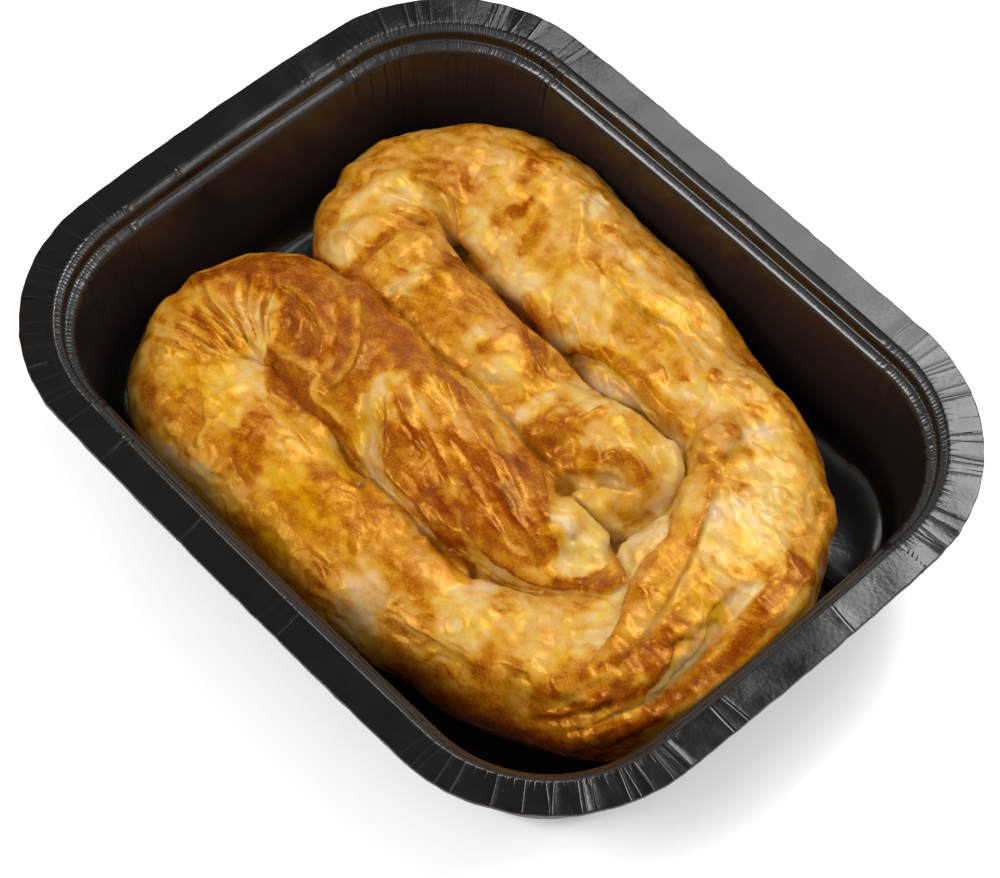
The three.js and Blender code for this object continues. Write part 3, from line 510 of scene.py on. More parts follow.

# Yellow egg wash (+) or white bare crust (-): (u, v, half length, half width, slant, amount). The white ones
# on the lower inner leg are painted sheen, for its wet highlights.
WASHES_AND_SHEEN = [
    (-57, 41, 6, 4, 0, -0.8), (-42, -17, 7, 5, -40, -0.35), (-46, -11, 8, 4, -20, -0.3),
    (-16, 20, 9, 4, -30, -0.4), (-16, 52, 6, 4, 0, -0.15), (38, 36, 5, 3, 0, -0.3),
    (16, -54, 9, 6, -10, -0.4), (74.5, -8, 3, 6, 0, -0.3), (71, 8, 3, 6, 0, -0.4), (48, 3, 3, 7, 0, -0.3),
    (31, -8, 4, 2.5, 0, -0.4), (12, -31, 10, 2, 0, -0.2), (10, 26, 12, 3, 10, -0.3),
    (4, 8, 2, 6, 0, -0.3), (18, -17, 11, 4, -10, -0.7), (8, -25, 8, 3, -10, -0.7),
    (14, -5, 6, 2.5, -20, -0.6), (0, -8, 12, 3, -15, -0.3), (-47, -39, 7, 4, 0, 0.1),
    (-60, -32, 10, 5, 0, 0.3), (-12, -35, 10, 3, 0, 0.4), (-9, -48, 12, 7, 0, 0.3),
    (-54, -46, 9, 6, 0, 0.3), (5, 9, 3, 4, 0, 0.3), (40, -9, 5, 4, 0, 0.2), (54, 24, 9, 5, 40, -0.2),
    (-1, 47, 10, 3, 0, 0.3), (-20, -46, 8, 6, 0, 0.4), (48, -42, 9, 5, 0, 0.1), (10, 32, 12, 2, 5, 0.5),
    (28, 20, 9, 4, 0, 0.2), (66, 1, 5, 5, 0, 0.3), (-10, -58, 14, 4, 0, 0.4), (72.6, -15, 3, 3, 0, 0.4),
    (44, 41, 5, 3, 44, -0.5), (44, 4.5, 5, 2.6, 66, 0.3), (-20, -24, 5, 4, 0, 0.4),
    (-29, -2, 7, 4, -7, 0.5), (31, -33, 4, 2.5, 43, -0.4), (8, 29.5, 6, 4, 40, 0.4),
    (-73.5, -18.5, 4, 3, 80, -0.4), (-43, -45.5, 4, 3, 12, 0.35), (26, 53, 6, 3, -9, -0.3),
    (33.5, -2.6, 8, 3, 70, 0.3), (-2.5, 32.6, 3, 3, 0, -0.3), (17.5, -40.5, 6, 3, -38, -0.4),
    (-42, -59.6, 4, 3, 15, -0.3), (-23, -55.6, 7, 3, 57, -0.3), (-43, 15, 4, 2, 58, 0.3),
    (25, -52.6, 4, 2.5, -43, -0.3), (-61, -24, 9, 7, 5, -0.25), (71.4, 2, 3, 6, 0, 0.3),
    (56.3, -32.6, 4, 5, 0, 0.3),
]

# Wash where nothing is marked, and how strongly the marks show.
WASH_MEAN = 0.5
WASH_CONTRAST = 1.35

# Middles of the bends that streaks run round: (u, v), and the u where they start and are full.
BENDS = [(46, -2, 44, 54), (-45, 22, -44, -54)]
# Ring-shaped blisters: (u, v, radius, rise).
RING_BLISTERS = [(34.2, -43.6, 2.3, 0.5), (58.6, 32.4, 2.0, 0.4)]
RING_WIDTH = 0.6
# A hollow deeper than this gets painted shade inside, this dark.
SHADED_HOLLOW_DEPTH = 1.5
HOLLOW_PAINTED_SHADE = 0.9


def smoothstep(low, high, value):
    """0 to 1 with soft ends, as value goes from low to high."""
    share = np.clip((value - low) / (high - low), 0, 1)
    return share * share * (3 - 2 * share)


def bell(value, middle, width):
    """1 at the middle, falling off to both sides."""
    return np.exp(-((value - middle) / width) ** 2)


def gradient_noise(points, noise):
    """The noise at the points, about -1 to 1."""
    rng = np.random.default_rng(SEED + noise.seed)
    table = rng.permutation(NOISE_TABLE)
    slopes = rng.normal(size=(NOISE_TABLE, 3))
    slopes /= np.linalg.norm(slopes, axis=1, keepdims=True)
    grid = points / np.asarray(noise.size, float)
    cell = np.floor(grid).astype(int)
    inside = grid - cell
    fade = inside ** 3 * (inside * (inside * 6 - 15) + 10)
    total = np.zeros(len(points))
    for corner in itertools.product((0, 1), repeat=3):
        at = cell + corner
        key = table[at[:, 0] % NOISE_TABLE]
        key = table[(key + at[:, 1]) % NOISE_TABLE]
        key = table[(key + at[:, 2]) % NOISE_TABLE]
        value = np.einsum("ij,ij->i", slopes[key], inside - corner)
        total += value * np.prod(np.where(corner, fade, 1 - fade), axis=1)
    return NOISE_GAIN * total


# Spacing of the points along a curve, in mm.
LINE_STEP = 0.7


def smooth_line(marks, closed=False):
    """Points along a smooth curve through the marks."""
    knots = np.array(marks + marks[:1] if closed else marks, float)
    before = knots[-2] if closed else 2 * knots[0] - knots[1]
    after = knots[1] if closed else 2 * knots[-1] - knots[-2]
    padded = np.vstack([before, knots, after])
    pieces = []
    for i in range(len(knots) - 1):
        a, b, c, d = padded[i:i + 4]
        count = max(2, int(np.linalg.norm(c - b) / LINE_STEP))
        t = (np.arange(count) / count)[:, None]
        pieces.append(0.5 * (2 * b + (c - a) * t + (2 * a - 5 * b + 4 * c - d) * t ** 2
                             + (3 * b - a - 3 * c + d) * t ** 3))
    return np.vstack(pieces + [knots[-1:]])


def near_segments(uv, line, reach):
    """Points near a line: index, its segments, way from their starts, share along and offset from them."""
    near = np.flatnonzero(np.all((uv > line.min(0) - reach) & (uv < line.max(0) + reach), axis=1))
    along = np.diff(line, axis=0)
    away = uv[near][:, None, :] - line[None, :-1]
    share = np.clip(np.sum(away * along, axis=2) / np.sum(along ** 2, axis=1), 0, 1)
    return near, along, away, share, away - share[..., None] * along


# A line's marks fade towards its ends over this length in mm, or this share of a short line.
TAPER_LENGTH = 4.0
TAPER_SHARE = 0.35
TAPER_START = -0.5


def beside_line(uv, marks, reach):
    """For points near a line: index, signed distance (+ on its left), taper towards its ends, its left."""
    near, along, _, share, offset = near_segments(uv, smooth_line(marks), reach)
    length = np.linalg.norm(along, axis=1)
    distance = np.linalg.norm(offset, axis=2)
    best = distance.argmin(axis=1)
    row = np.arange(len(near))
    left = np.stack([-along[best, 1], along[best, 0]], 1) / length[best, None]
    side = np.sum(left * offset[row, best], axis=1)
    travelled = np.concatenate([[0], np.cumsum(length)])
    place = travelled[best] + share[row, best] * length[best]
    to_end = np.minimum(place, travelled[-1] - place)
    taper = smoothstep(TAPER_START, min(TAPER_LENGTH, TAPER_SHARE * travelled[-1]), to_end)
    return near, np.where(side >= 0, 1, -1) * distance[row, best], taper, left


def inside_outline(uv, marks, edge):
    """For points near a closed outline: index, and how far inside they are, 0 to 1 across the edge."""
    near, along, away, _, offset = near_segments(uv, smooth_line(marks, closed=True), edge)
    distance = np.linalg.norm(offset, axis=2).min(axis=1)
    crosses = (away[..., 1] >= 0) != (away[..., 1] >= along[:, 1])
    beyond = away[..., 0] * along[:, 1] < away[..., 1] * along[:, 0]
    passed = crosses & (beyond == (along[:, 1] > 0))
    inside = np.sum(passed, axis=1) % 2 == 1
    return near, smoothstep(-edge, edge, np.where(inside, distance, -distance))


def blot(uv, u, v, half_length, half_width, slant):
    """Squared distance from a blotch's middle, 1 at its edge."""
    turn = math.radians(slant)
    x = (uv[:, 0] - u) * math.cos(turn) + (uv[:, 1] - v) * math.sin(turn)
    y = (uv[:, 1] - v) * math.cos(turn) - (uv[:, 0] - u) * math.sin(turn)
    return (x / half_length) ** 2 + (y / half_width) ** 2


def fall_off(distance, factor, power):
    return np.exp(-factor * distance ** power)


def mesh_piece(name, points, faces, material):
    """A smooth-shaded mesh object from points in mm."""
    mesh = bpy.data.meshes.new(name)
    mesh.from_pydata([tuple(p) for p in np.asarray(points) * MM], [], faces)
    mesh.validate()
    mesh.polygons.foreach_set("use_smooth", np.ones(len(mesh.polygons), bool))
    mesh.materials.append(material)
    piece = bpy.data.objects.new(name, mesh)
    bpy.context.scene.collection.objects.link(piece)
    return piece


def add_attribute(mesh, name, values):
    attribute = mesh.attributes.new(name, "FLOAT", "POINT")
    attribute.data.foreach_set("value", np.asarray(values, np.float32))


def new_material(name):
    material = bpy.data.materials.new(name)
    material.use_nodes = True
    nodes = material.node_tree.nodes
    return material, nodes, material.node_tree.links, nodes["Principled BSDF"]


def add_noise(nodes, links, source, scale, detail, roughness):
    noise = nodes.new("ShaderNodeTexNoise")
    noise.inputs["Scale"].default_value = scale
    noise.inputs["Detail"].default_value = detail
    noise.inputs["Roughness"].default_value = roughness
    links.new(source, noise.inputs["Vector"])
    return noise.outputs["Fac"]


def add_math(nodes, links, operation, *values):
    node = nodes.new("ShaderNodeMath")
    node.operation = operation
    for socket, value in zip(node.inputs, values):
        if isinstance(value, (int, float)):
            socket.default_value = value
        else:
            links.new(value, socket)
    return node.outputs[0]


def add_ramp(nodes, links, source, stops):
    ramp = nodes.new("ShaderNodeValToRGB")
    elements = ramp.color_ramp.elements
    while len(elements) < len(stops):
        elements.new(0.5)
    for element, (position, colour) in zip(elements, stops):
        element.position = position
        element.color = (*colour, 1)
    links.new(source, ramp.inputs["Fac"])
    return ramp.outputs["Color"]


def add_mix(nodes, links, share, first, second):
    """Mixes two colours, each a socket or a plain colour, by a socket that goes from 0 to 1."""
    mix = nodes.new("ShaderNodeMix")
    mix.data_type = "RGBA"
    links.new(share, mix.inputs["Factor"])
    for socket, colour in ((mix.inputs["A"], first), (mix.inputs["B"], second)):
        if isinstance(colour, tuple):
            socket.default_value = (*colour, 1)
        else:
            links.new(colour, socket)
    return mix.outputs["Result"]


# Most of a noise texture's values lie between these.
NOISE_LOW = 0.3
NOISE_HIGH = 0.7


def add_range(nodes, links, source, low, high):
    """Maps a noise's usual spread to the range low to high."""
    node = nodes.new("ShaderNodeMapRange")
    node.inputs["From Min"].default_value = NOISE_LOW
    node.inputs["From Max"].default_value = NOISE_HIGH
    node.inputs["To Min"].default_value = low
    node.inputs["To Max"].default_value = high
    links.new(source, node.inputs["Value"])
    return node.outputs["Result"]


def add_bump(nodes, links, height, distance, strength, below=None):
    bump = nodes.new("ShaderNodeBump")
    bump.inputs["Distance"].default_value = distance
    bump.inputs["Strength"].default_value = strength
    links.new(height, bump.inputs["Height"])
    if below is not None:
        links.new(below, bump.inputs["Normal"])
    return bump.outputs["Normal"]


def add_value(nodes, name):
    """A value that the mesh holds at each point."""
    attribute = nodes.new("ShaderNodeAttribute")
    attribute.attribute_name = name
    return attribute.outputs["Fac"]


def object_coordinates(nodes):
    return nodes.new("ShaderNodeTexCoord").outputs["Object"]


# Red and green of the crust by its tone.
CRUST_STOPS = [
    (0.0, (0.49, 0.359)),
    (0.12, (0.475, 0.315)),
    (0.25, (0.45, 0.253)),
    (0.4, (0.40, 0.180)),
    (0.52, (0.315, 0.108)),
    (0.64, (0.226, 0.0545)),
    (0.76, (0.170, 0.031)),
    (0.88, (0.130, 0.018)),
    (1.0, (0.08, 0.008)),
]
# Blue at the same places along the ramp: yellow with egg wash, and whiter where the dough is bare and where
# sheen is painted on the lower inner leg.
WASHED_BLUE = (0.070, 0.042, 0.013, 0.001, 0.0002, 0.0002, 0.0002, 0.0002, 0.0002)
BARE_AND_SHEEN_BLUE = (0.222, 0.168, 0.098, 0.037, 0.007, 0.002, 0.0008, 0.0005, 0.0005)
# Dark brown painted into crevices and deep hollows as their shade.
CREVICE_SHADE_COLOUR = (0.15, 0.045, 0.004)
# Noise textures of the crust, in lumps per metre, and how far they shift its tone or its wash.
SPECKLE_SCALE = 1900
SPECKLE_TONE = 0.11
MOTTLE_SCALE = 420
MOTTLE_TONE = 0.05
POOL_SCALE = 170
POOL_WASH = 0.5
# Speckle shows less on pale crust.
SPECKLE_STOPS = [(0.4, (0.35, 0.35, 0.35)), (0.68, (1, 1, 1))]
# Least and most roughness, height of the bumps in metres, and their strengths.
CRUST_ROUGHNESS = (0.11, 0.27)
CRUST_BUMP = 0.0003
SPECKLE_BUMP_SHARE = 0.26
MOTTLE_BUMP_SHARE = 0.35


def with_blue(blues):
    """The crust's colour stops with other amounts of blue."""
    return [(place, (*colour, blue)) for (place, colour), blue in zip(CRUST_STOPS, blues)]


def crust_material():
    """Egg-washed crust: colour by how brown it is, fine blisters, an oily satin gloss, with painted shade in
    crevices and painted sheen carried by the wash.
    """
    material, nodes, links, shader = new_material("baked_crust")
    place = object_coordinates(nodes)
    bake = add_value(nodes, "bake")
    speckle = add_noise(nodes, links, place, SPECKLE_SCALE, 3, 0.6)
    mottle = add_noise(nodes, links, place, MOTTLE_SCALE, 3, 0.55)
    pools = add_noise(nodes, links, place, POOL_SCALE, 4, 0.8)
    browned = add_ramp(nodes, links, bake, SPECKLE_STOPS)
    speckle_tone = add_range(nodes, links, speckle, -SPECKLE_TONE, SPECKLE_TONE)
    tone = add_math(nodes, links, "ADD", bake, add_math(nodes, links, "MULTIPLY", speckle_tone, browned))
    tone = add_math(nodes, links, "ADD", tone, add_range(nodes, links, mottle, -MOTTLE_TONE, MOTTLE_TONE))
    pool_wash = add_range(nodes, links, pools, -POOL_WASH, POOL_WASH)
    # The wash also carries painted sheen: whiter, bluer streaks on the lower inner leg.
    wash_with_sheen = add_math(nodes, links, "ADD", add_value(nodes, "wash_and_sheen"), pool_wash)
    bare = add_ramp(nodes, links, tone, with_blue(BARE_AND_SHEEN_BLUE))
    yellow = add_ramp(nodes, links, tone, with_blue(WASHED_BLUE))
    colour = add_mix(nodes, links, wash_with_sheen, bare, yellow)
    # Painted shade: crevices and deep hollows are darkened towards dark brown.
    colour = add_mix(nodes, links, add_value(nodes, "crevice_shade"), colour, CREVICE_SHADE_COLOUR)
    links.new(colour, shader.inputs["Base Color"])
    links.new(add_range(nodes, links, mottle, *CRUST_ROUGHNESS), shader.inputs["Roughness"])
    fine = add_bump(nodes, links, speckle, CRUST_BUMP, SPECKLE_BUMP_SHARE)
    normal = add_bump(nodes, links, mottle, CRUST_BUMP, MOTTLE_BUMP_SHARE, fine)
    links.new(normal, shader.inputs["Normal"])
    links.new(fine, shader.inputs["Coat Normal"])
    shader.inputs["Specular IOR Level"].default_value = 0.55
    shader.inputs["Specular Tint"].default_value = (1.0, 0.5, 0.03, 1)
    shader.inputs["Coat Weight"].default_value = 0.045
    shader.inputs["Coat Roughness"].default_value = 0.08
    return material


# Colour of the board by share of the tray's height: its walls are painted a warmer, lighter black than floor
# and flange, as painted reflection of the pastry and light on them.
BOARD_AND_REFLECTION_STOPS = [
    (0.1, (0.0060, 0.0044, 0.0036)),
    (0.3, (0.0140, 0.0084, 0.0070)),
    (0.82, (0.0115, 0.0076, 0.0070)),
    (0.92, (0.0058, 0.0045, 0.0038)),
]
# Noise textures of the board, in lumps per metre, and depth in metres and strength of their bump.
PEEL_SCALE = 900
PEEL_BUMP = (0.00006, 0.35)
WAVE_SCALE = 160
WAVE_BUMP = (0.0002, 0.18)
BOARD_ROUGHNESS = (0.11, 0.19)


def board_material():
    """Black film on pressed board: glossy, with a faint orange-peel, and walls painted warmer as a painted
    reflection.
    """
    material, nodes, links, shader = new_material("black_board")
    place = object_coordinates(nodes)
    peel = add_noise(nodes, links, place, PEEL_SCALE, 2, 0.5)
    wave = add_noise(nodes, links, place, WAVE_SCALE, 3, 0.5)
    parts = nodes.new("ShaderNodeSeparateXYZ")
    links.new(place, parts.inputs["Vector"])
    height = add_math(nodes, links, "DIVIDE", parts.outputs["Z"], TRAY_HEIGHT * MM)
    # Painted reflection and light: the walls are a warmer, lighter black than floor and flange.
    links.new(add_ramp(nodes, links, height, BOARD_AND_REFLECTION_STOPS), shader.inputs["Base Color"])
    links.new(add_range(nodes, links, wave, *BOARD_ROUGHNESS), shader.inputs["Roughness"])
    normal = add_bump(nodes, links, peel, *PEEL_BUMP)
    normal = add_bump(nodes, links, wave, *WAVE_BUMP, normal)
    links.new(normal, shader.inputs["Normal"])
    shader.inputs["Specular IOR Level"].default_value = 0.35
    return material


# White floor: its glow, its colour by noise, its half width in mm and its noise in lumps per metre.
FLOOR_GLOW = 0.08
FLOOR_STOPS = [(0.3, (0.91, 0.91, 0.91)), (0.7, (0.93, 0.93, 0.93))]
FLOOR_REACH = 3000
FLOOR_NOISE_SCALE = 6


def floor_material():
    """White floor that glows a little, as a light table does."""
    material, nodes, links, shader = new_material("pale_floor")
    grain = add_noise(nodes, links, object_coordinates(nodes), FLOOR_NOISE_SCALE, 2, 0.5)
    links.new(add_ramp(nodes, links, grain, FLOOR_STOPS), shader.inputs["Base Color"])
    shader.inputs["Roughness"].default_value = 0.9
    shader.inputs["Specular IOR Level"].default_value = 0.1
    shader.inputs["Emission Color"].default_value = (1.0, 1.0, 1.0, 1)
    shader.inputs["Emission Strength"].default_value = FLOOR_GLOW
    return material


# Distance between the mesh's columns along the rim, in mm, and the least share of it to a crease.
RIM_STEP = 2.2
RIM_ROOM = 0.45
# Across a crease, in widths from its middle: its height as a share of its depth.
CREASE_SHAPE = [(-2.0, 0.0), (-1.0, 0.15), (0.0, -1.0), (1.0, 0.15), (2.0, 0.0)]


def rim_length():
    straight = 2 * (TRAY_LENGTH + TRAY_WIDTH - 4 * CORNER_RADIUS - 4 * SIDE_BOW)
    return straight + 2 * math.pi * CORNER_RADIUS


def rim_point(place, inset):
    """Plan point and outward direction at a distance along the rim, moved in by inset."""
    half = np.array([TRAY_LENGTH, TRAY_WIDTH]) / 2 - SIDE_BOW
    centre = half - CORNER_RADIUS
    arc = math.pi / 2 * CORNER_RADIUS
    runs = (2 * centre[0], 2 * centre[1])
    place = np.mod(place, rim_length())
    point = np.zeros((len(place), 2))
    outward = np.zeros((len(place), 2))
    start = 0.0
    for quarter, (sx, sy) in enumerate([(1, 1), (-1, 1), (-1, -1), (1, -1)]):
        inside = (place >= start) & (place < start + arc)
        angle = quarter * math.pi / 2 + (place[inside] - start) / CORNER_RADIUS
        outward[inside] = np.stack([np.cos(angle), np.sin(angle)], 1)
        middle = np.array([sx, sy]) * centre
        point[inside] = middle + outward[inside] * (CORNER_RADIUS - inset[inside])[:, None]
        start += arc
        run = runs[quarter % 2]
        inside = (place >= start) & (place < start + run)
        share = (place[inside] - start) / run
        turn = (quarter + 1) * math.pi / 2
        normal = np.array([math.cos(turn), math.sin(turn)])
        along = np.array([-normal[1], normal[0]])
        bow = 4 * SIDE_BOW * share * (1 - share)
        outward[inside] = normal
        base = middle + normal * CORNER_RADIUS
        point[inside] = (base + along * (share * run)[:, None]
                         + normal * (bow - inset[inside])[:, None])
        start += run
    return point, outward


# Parts of the board's profile, each as (inset, drop): the rim's cut edge, the chamfered shoulder below the
# flange, the ledge with its rounded edge, and where the wall starts below that. Then numbers of rings.
RIM_EDGE = [(0.0, 0.1), (0.1, 0.01), (0.3, 0.0), (0.5, 0.0)]
FLANGE_RINGS = 6
FLANGE_MARGIN = 1.2
SHOULDER = [(-0.7, 0.01), (-0.45, 0.08), (-0.2, 0.22), (0.25, 0.53), (0.7, 0.85), (1.1, 1.15), (1.25, 1.5),
            (1.32, 2.3), (1.42, 3.4)]
LEDGE_EDGE = [(-1.4, -0.05), (-1.05, 0.02), (-0.75, 0.2), (-0.2, 0.59), (0.35, 0.98), (0.65, 1.3),
              (0.9, 2.0), (1.02, 2.8)]
WALL_START = (1.1, 3.4)
WALL_RINGS = 7
FOOT_RINGS = 7


def board_profile():
    """Upper face of the board from the rim's edge to the floor, as (inset, height)."""
    ledge = np.array([FLANGE + LEDGE_WIDTH, TRAY_HEIGHT - STEP_DROP])
    foot = np.array([WALL_FOOT_INSET, WALL_FOOT_HEIGHT])
    wall_start = ledge + (WALL_START[0], -WALL_START[1])
    flange = np.linspace(FLANGE_MARGIN, FLANGE - FLANGE_MARGIN, FLANGE_RINGS)
    profile = [(inset, TRAY_HEIGHT - drop) for inset, drop in RIM_EDGE]
    profile += [(inset, TRAY_HEIGHT) for inset in flange]
    profile += [(FLANGE + inset, TRAY_HEIGHT - drop) for inset, drop in SHOULDER]
    profile += [ledge + (inset, -drop) for inset, drop in LEDGE_EDGE]
    profile += [wall_start + (foot - wall_start) * share for share in np.linspace(0, 1, WALL_RINGS)]
    for i in range(1, FOOT_RINGS + 1):
        angle = math.pi / 2 * i / FOOT_RINGS
        inset = FOOT_WIDTH * (1 - math.cos(angle))
        profile.append(foot + (inset, (BOARD - WALL_FOOT_HEIGHT) * math.sin(angle)))
    return np.array(profile)


def profile_normals(profile):
    """Directions out of the board's upper face."""
    along = np.gradient(profile, axis=0)
    along /= np.linalg.norm(along, axis=1, keepdims=True)
    return np.stack([-along[:, 1], along[:, 0]], 1)


# A crease across the rim: where along it, width, depth and lean in mm, and where along the profile it starts
# and ends. All are drawn between two limits; a shape has those of width, depth and lean.
Crease = namedtuple("Crease", "place width depth lean outer inner")
OVER_RIM = -1.0
CORNER_MARGIN = 3.0
CORNER_SHAPE = [(0.09, 0.16), (0.24, 0.42), (-0.6, 0.6)]
CORNER_STARTS = (5.5, 7.5)
CORNER_ENDS = (15.5, 18.0)
WALL_ENDS = (30.0, 46.0)
CORNER_GAPS = (0.9, 1.8)
# Shares of the corner creases that go far down the wall, and that cross the whole flange.
LONG_SHARE = 0.34
WHOLE_SHARE = 0.32
# Groups of creases along a side: their spacing, how far from the corner they start, and their scatter.
SIDE_SPACING = 26
SIDE_MARGIN = 12
SIDE_SCATTER = (-3, 6)
SIDE_SHAPE = [(0.14, 0.3), (0.2, 0.45), (-1.0, 1.0)]
SIDE_ENDS = (10.0, 16.0)
SIDE_GAPS = (1.6, 3.2)


def corner_creases(rng, start, end):
    """Creases where the board is gathered round one corner."""
    creases = []
    place = start - CORNER_MARGIN
    while place < end + CORNER_MARGIN:
        long = rng.random() < LONG_SHARE
        whole = rng.random() < WHOLE_SHARE
        shape = [rng.uniform(*limits) for limits in CORNER_SHAPE]
        outer = OVER_RIM if whole else rng.uniform(*CORNER_STARTS)
        inner = rng.uniform(*(WALL_ENDS if long else CORNER_ENDS))
        creases.append(Crease(place, *shape, outer, inner))
        place += rng.uniform(*CORNER_GAPS)
    return creases


def side_creases(rng, start, run):
    """A few groups of creases across one side's flange."""
    creases = []
    groups = int(run / SIDE_SPACING)
    for group in range(groups):
        place = start + SIDE_MARGIN + run * group / groups + rng.uniform(*SIDE_SCATTER)
        for _ in range(rng.integers(1, 4)):
            shape = [rng.uniform(*limits) for limits in SIDE_SHAPE]
            creases.append(Crease(place, *shape, OVER_RIM, rng.uniform(*SIDE_ENDS)))
            place += rng.uniform(*SIDE_GAPS)
    return creases


def rim_creases(rng):
    """All creases along the rim. The far side, after the first corner, has none."""
    arc = math.pi / 2 * CORNER_RADIUS
    runs = [length - 2 * (CORNER_RADIUS + SIDE_BOW) for length in (TRAY_LENGTH, TRAY_WIDTH)]
    creases = []
    start = 0.0
    for quarter in range(4):
        creases += corner_creases(rng, start, start + arc)
        start += arc
        run = runs[quarter % 2]
        if quarter > 0:
            creases += side_creases(rng, start, run)
        start += run
    return creases


def tray_columns(creases):
    """Columns along the rim, as (place, lean, depth, start, end): a set at each crease, and between."""
    columns = []
    for crease in creases:
        for offset, share in CREASE_SHAPE:
            place = crease.place + offset * crease.width
            columns.append((place, crease.lean, crease.depth * share, crease.outer, crease.inner))
    taken = np.array([column[0] for column in columns])
    for place in np.arange(0, rim_length(), RIM_STEP):
        if np.abs(taken - place).min() > RIM_ROOM * RIM_STEP:
            columns.append((place, 0.0, 0.0, 0.0, 0.0))
    columns.sort()
    return np.array(columns)


# Distances along the profile in mm: where a lean ends, with its scale, how long a crease takes to start and
# to fade, where the flange's waves end, and how far in the ragged cut edge reaches.
LEAN_REACH = 12
LEAN_SCALE = 2
CREASE_START = 2
CREASE_FADE = 8
FLANGE_END = (FLANGE - 1, FLANGE + 4)
CUT_REACH = 3
# Heights in mm of the flange's waves and its cut edge, and what a crease loses on the flange.
FLANGE_WAVE_HEIGHT = 0.15
EDGE_WAVE_HEIGHT = 0.16
CUT_EDGE_DEPTH = 0.25
FLANGE_LOSS = 0.6
# The right-hand corner, by the sum of its outward direction's two parts.
RIGHT_CORNER = (0.8, 1.3)
# The lower face has every third ring of the upper one; the floor has rings at these shares of its foot.
LOWER_RING_STEP = 3
FLOOR_RINGS = (0.7, 0.4, 0.15)


def tray_ring(inset, level, normal, reach, columns):
    """One ring of the tray, at a distance along the profile, with creases, waves and the ragged edge."""
    place, lean, depth, outer, inner = columns.T
    count = len(columns)
    _, facing = rim_point(place, np.zeros(count))
    spread = FOOT_SPREAD * smoothstep(*RIGHT_CORNER, facing.sum(axis=1))
    inset = inset + max(0.0, inset - WALL_FOOT_INSET) / FOOT_WIDTH * spread
    plan, outward = rim_point(place + lean * smoothstep(LEAN_REACH, 0, reach) * LEAN_SCALE, inset)
    begun = smoothstep(outer, outer + CREASE_START, reach)
    window = begun * (1 - smoothstep(inner - CREASE_FADE, inner, reach))
    flange = 1 - smoothstep(*FLANGE_END, reach)
    probe = np.column_stack([plan, np.zeros(count)])
    waves = FLANGE_WAVE_HEIGHT * gradient_noise(probe, FLANGE_WAVE)
    waves += (1 - reach / FLANGE) * EDGE_WAVE_HEIGHT * gradient_noise(probe, EDGE_WAVE)
    shift = depth * window * (1 - FLANGE_LOSS * flange) + flange * waves
    edge = CUT_EDGE_DEPTH * gradient_noise(probe, CUT_EDGE) * (1 - smoothstep(0, CUT_REACH, reach))
    side = edge - normal[0] * shift
    return np.column_stack([plan + outward * side[:, None], level + normal[1] * shift])


def ring_faces(rings, count):
    """Faces between rings of count points each, and from the end rings to the two points after them."""
    faces = []
    for i in range(rings - 1):
        for j in range(count):
            k = (j + 1) % count
            faces.append((i * count + j, i * count + k, (i + 1) * count + k, (i + 1) * count + j))
    last = rings * count
    for j in range(count):
        k = (j + 1) % count
        faces.append((last, k, j))
        faces.append((last + 1, last - count + j, last - count + k))
    return faces


def build_tray(material):
    """The board: its lower face from the floor to the rim, and its upper face from there to the floor."""
    columns = tray_columns(rim_creases(np.random.default_rng(SEED)))
    profile = board_profile()
    normals = profile_normals(profile)
    lower = profile - normals * BOARD
    lower[0] = profile[0] - (0, BOARD)
    lower[-1] = (profile[-1][0], 0)
    reach = np.concatenate([[0], np.cumsum(np.linalg.norm(np.diff(profile, axis=0), axis=1))])
    last = len(profile) - 1
    lower_rows = [i for i in range(last, -1, -1) if i % LOWER_RING_STEP == 0 or i == last]
    rings = [tray_ring(*lower[i], normals[i], reach[i], columns) for i in lower_rows]
    rings += [tray_ring(*profile[i], normals[i], reach[i], columns) for i in range(last + 1)]
    under_floor = [rings[0] * (share, share, 1) for share in reversed(FLOOR_RINGS)]
    floor = [rings[-1] * (share, share, 1) for share in FLOOR_RINGS]
    rings = under_floor + rings + floor
    points = np.vstack(rings + [[[0, 0, 0]], [[0, 0, BOARD]]])
    return mesh_piece("tray_board", points, ring_faces(len(rings), len(columns)), material)


def mesh_arrays(mesh):
    """Points in mm, edges and faces of a mesh."""
    points = np.zeros(3 * len(mesh.vertices))
    mesh.vertices.foreach_get("co", points)
    edges = np.zeros(2 * len(mesh.edges), int)
    mesh.edges.foreach_get("vertices", edges)
    faces = [tuple(polygon.vertices) for polygon in mesh.polygons]
    return points.reshape(-1, 3) / MM, edges.reshape(-1, 2), faces


def modified(mesh, kind, settings, group=None):
    """The mesh with one modifier applied."""
    source = bpy.data.objects.new("modifier_source", mesh)
    bpy.context.scene.collection.objects.link(source)
    modifier = source.modifiers.new(kind, kind)
    for name, value in settings.items():
        setattr(modifier, name, value)
    if group is not None:
        members = source.vertex_groups.new(name="amount")
        members.add([int(i) for i in np.flatnonzero(group)], 1.0, "REPLACE")
        modifier.vertex_group = "amount"
    graph = bpy.context.evaluated_depsgraph_get()
    made = bpy.data.meshes.new_from_object(source.evaluated_get(graph))
    bpy.data.objects.remove(source)
    return made


def divided_copy(node):
    """Evenly divided, slightly rounded copy of a solid, with fewer faces underneath."""
    mesh = modified(node.data.copy(), "REMESH", {"mode": "VOXEL", "voxel_size": VOXEL * MM})
    points, edges, faces = mesh_arrays(mesh)
    points = smoothed(points, edges, POINT_ROUNDS)
    mesh.vertices.foreach_set("co", (points * MM).ravel())
    facing_down = point_normals(points, faces)[:, 2] < UNDERSIDE_SLOPE
    underneath = facing_down | (points[:, 2] < UNDERSIDE_LEVEL)
    mesh = modified(mesh, "DECIMATE", {"ratio": UNDERSIDE_KEEP, "vertex_group_factor": 1000.0}, underneath)
    return mesh_arrays(mesh)


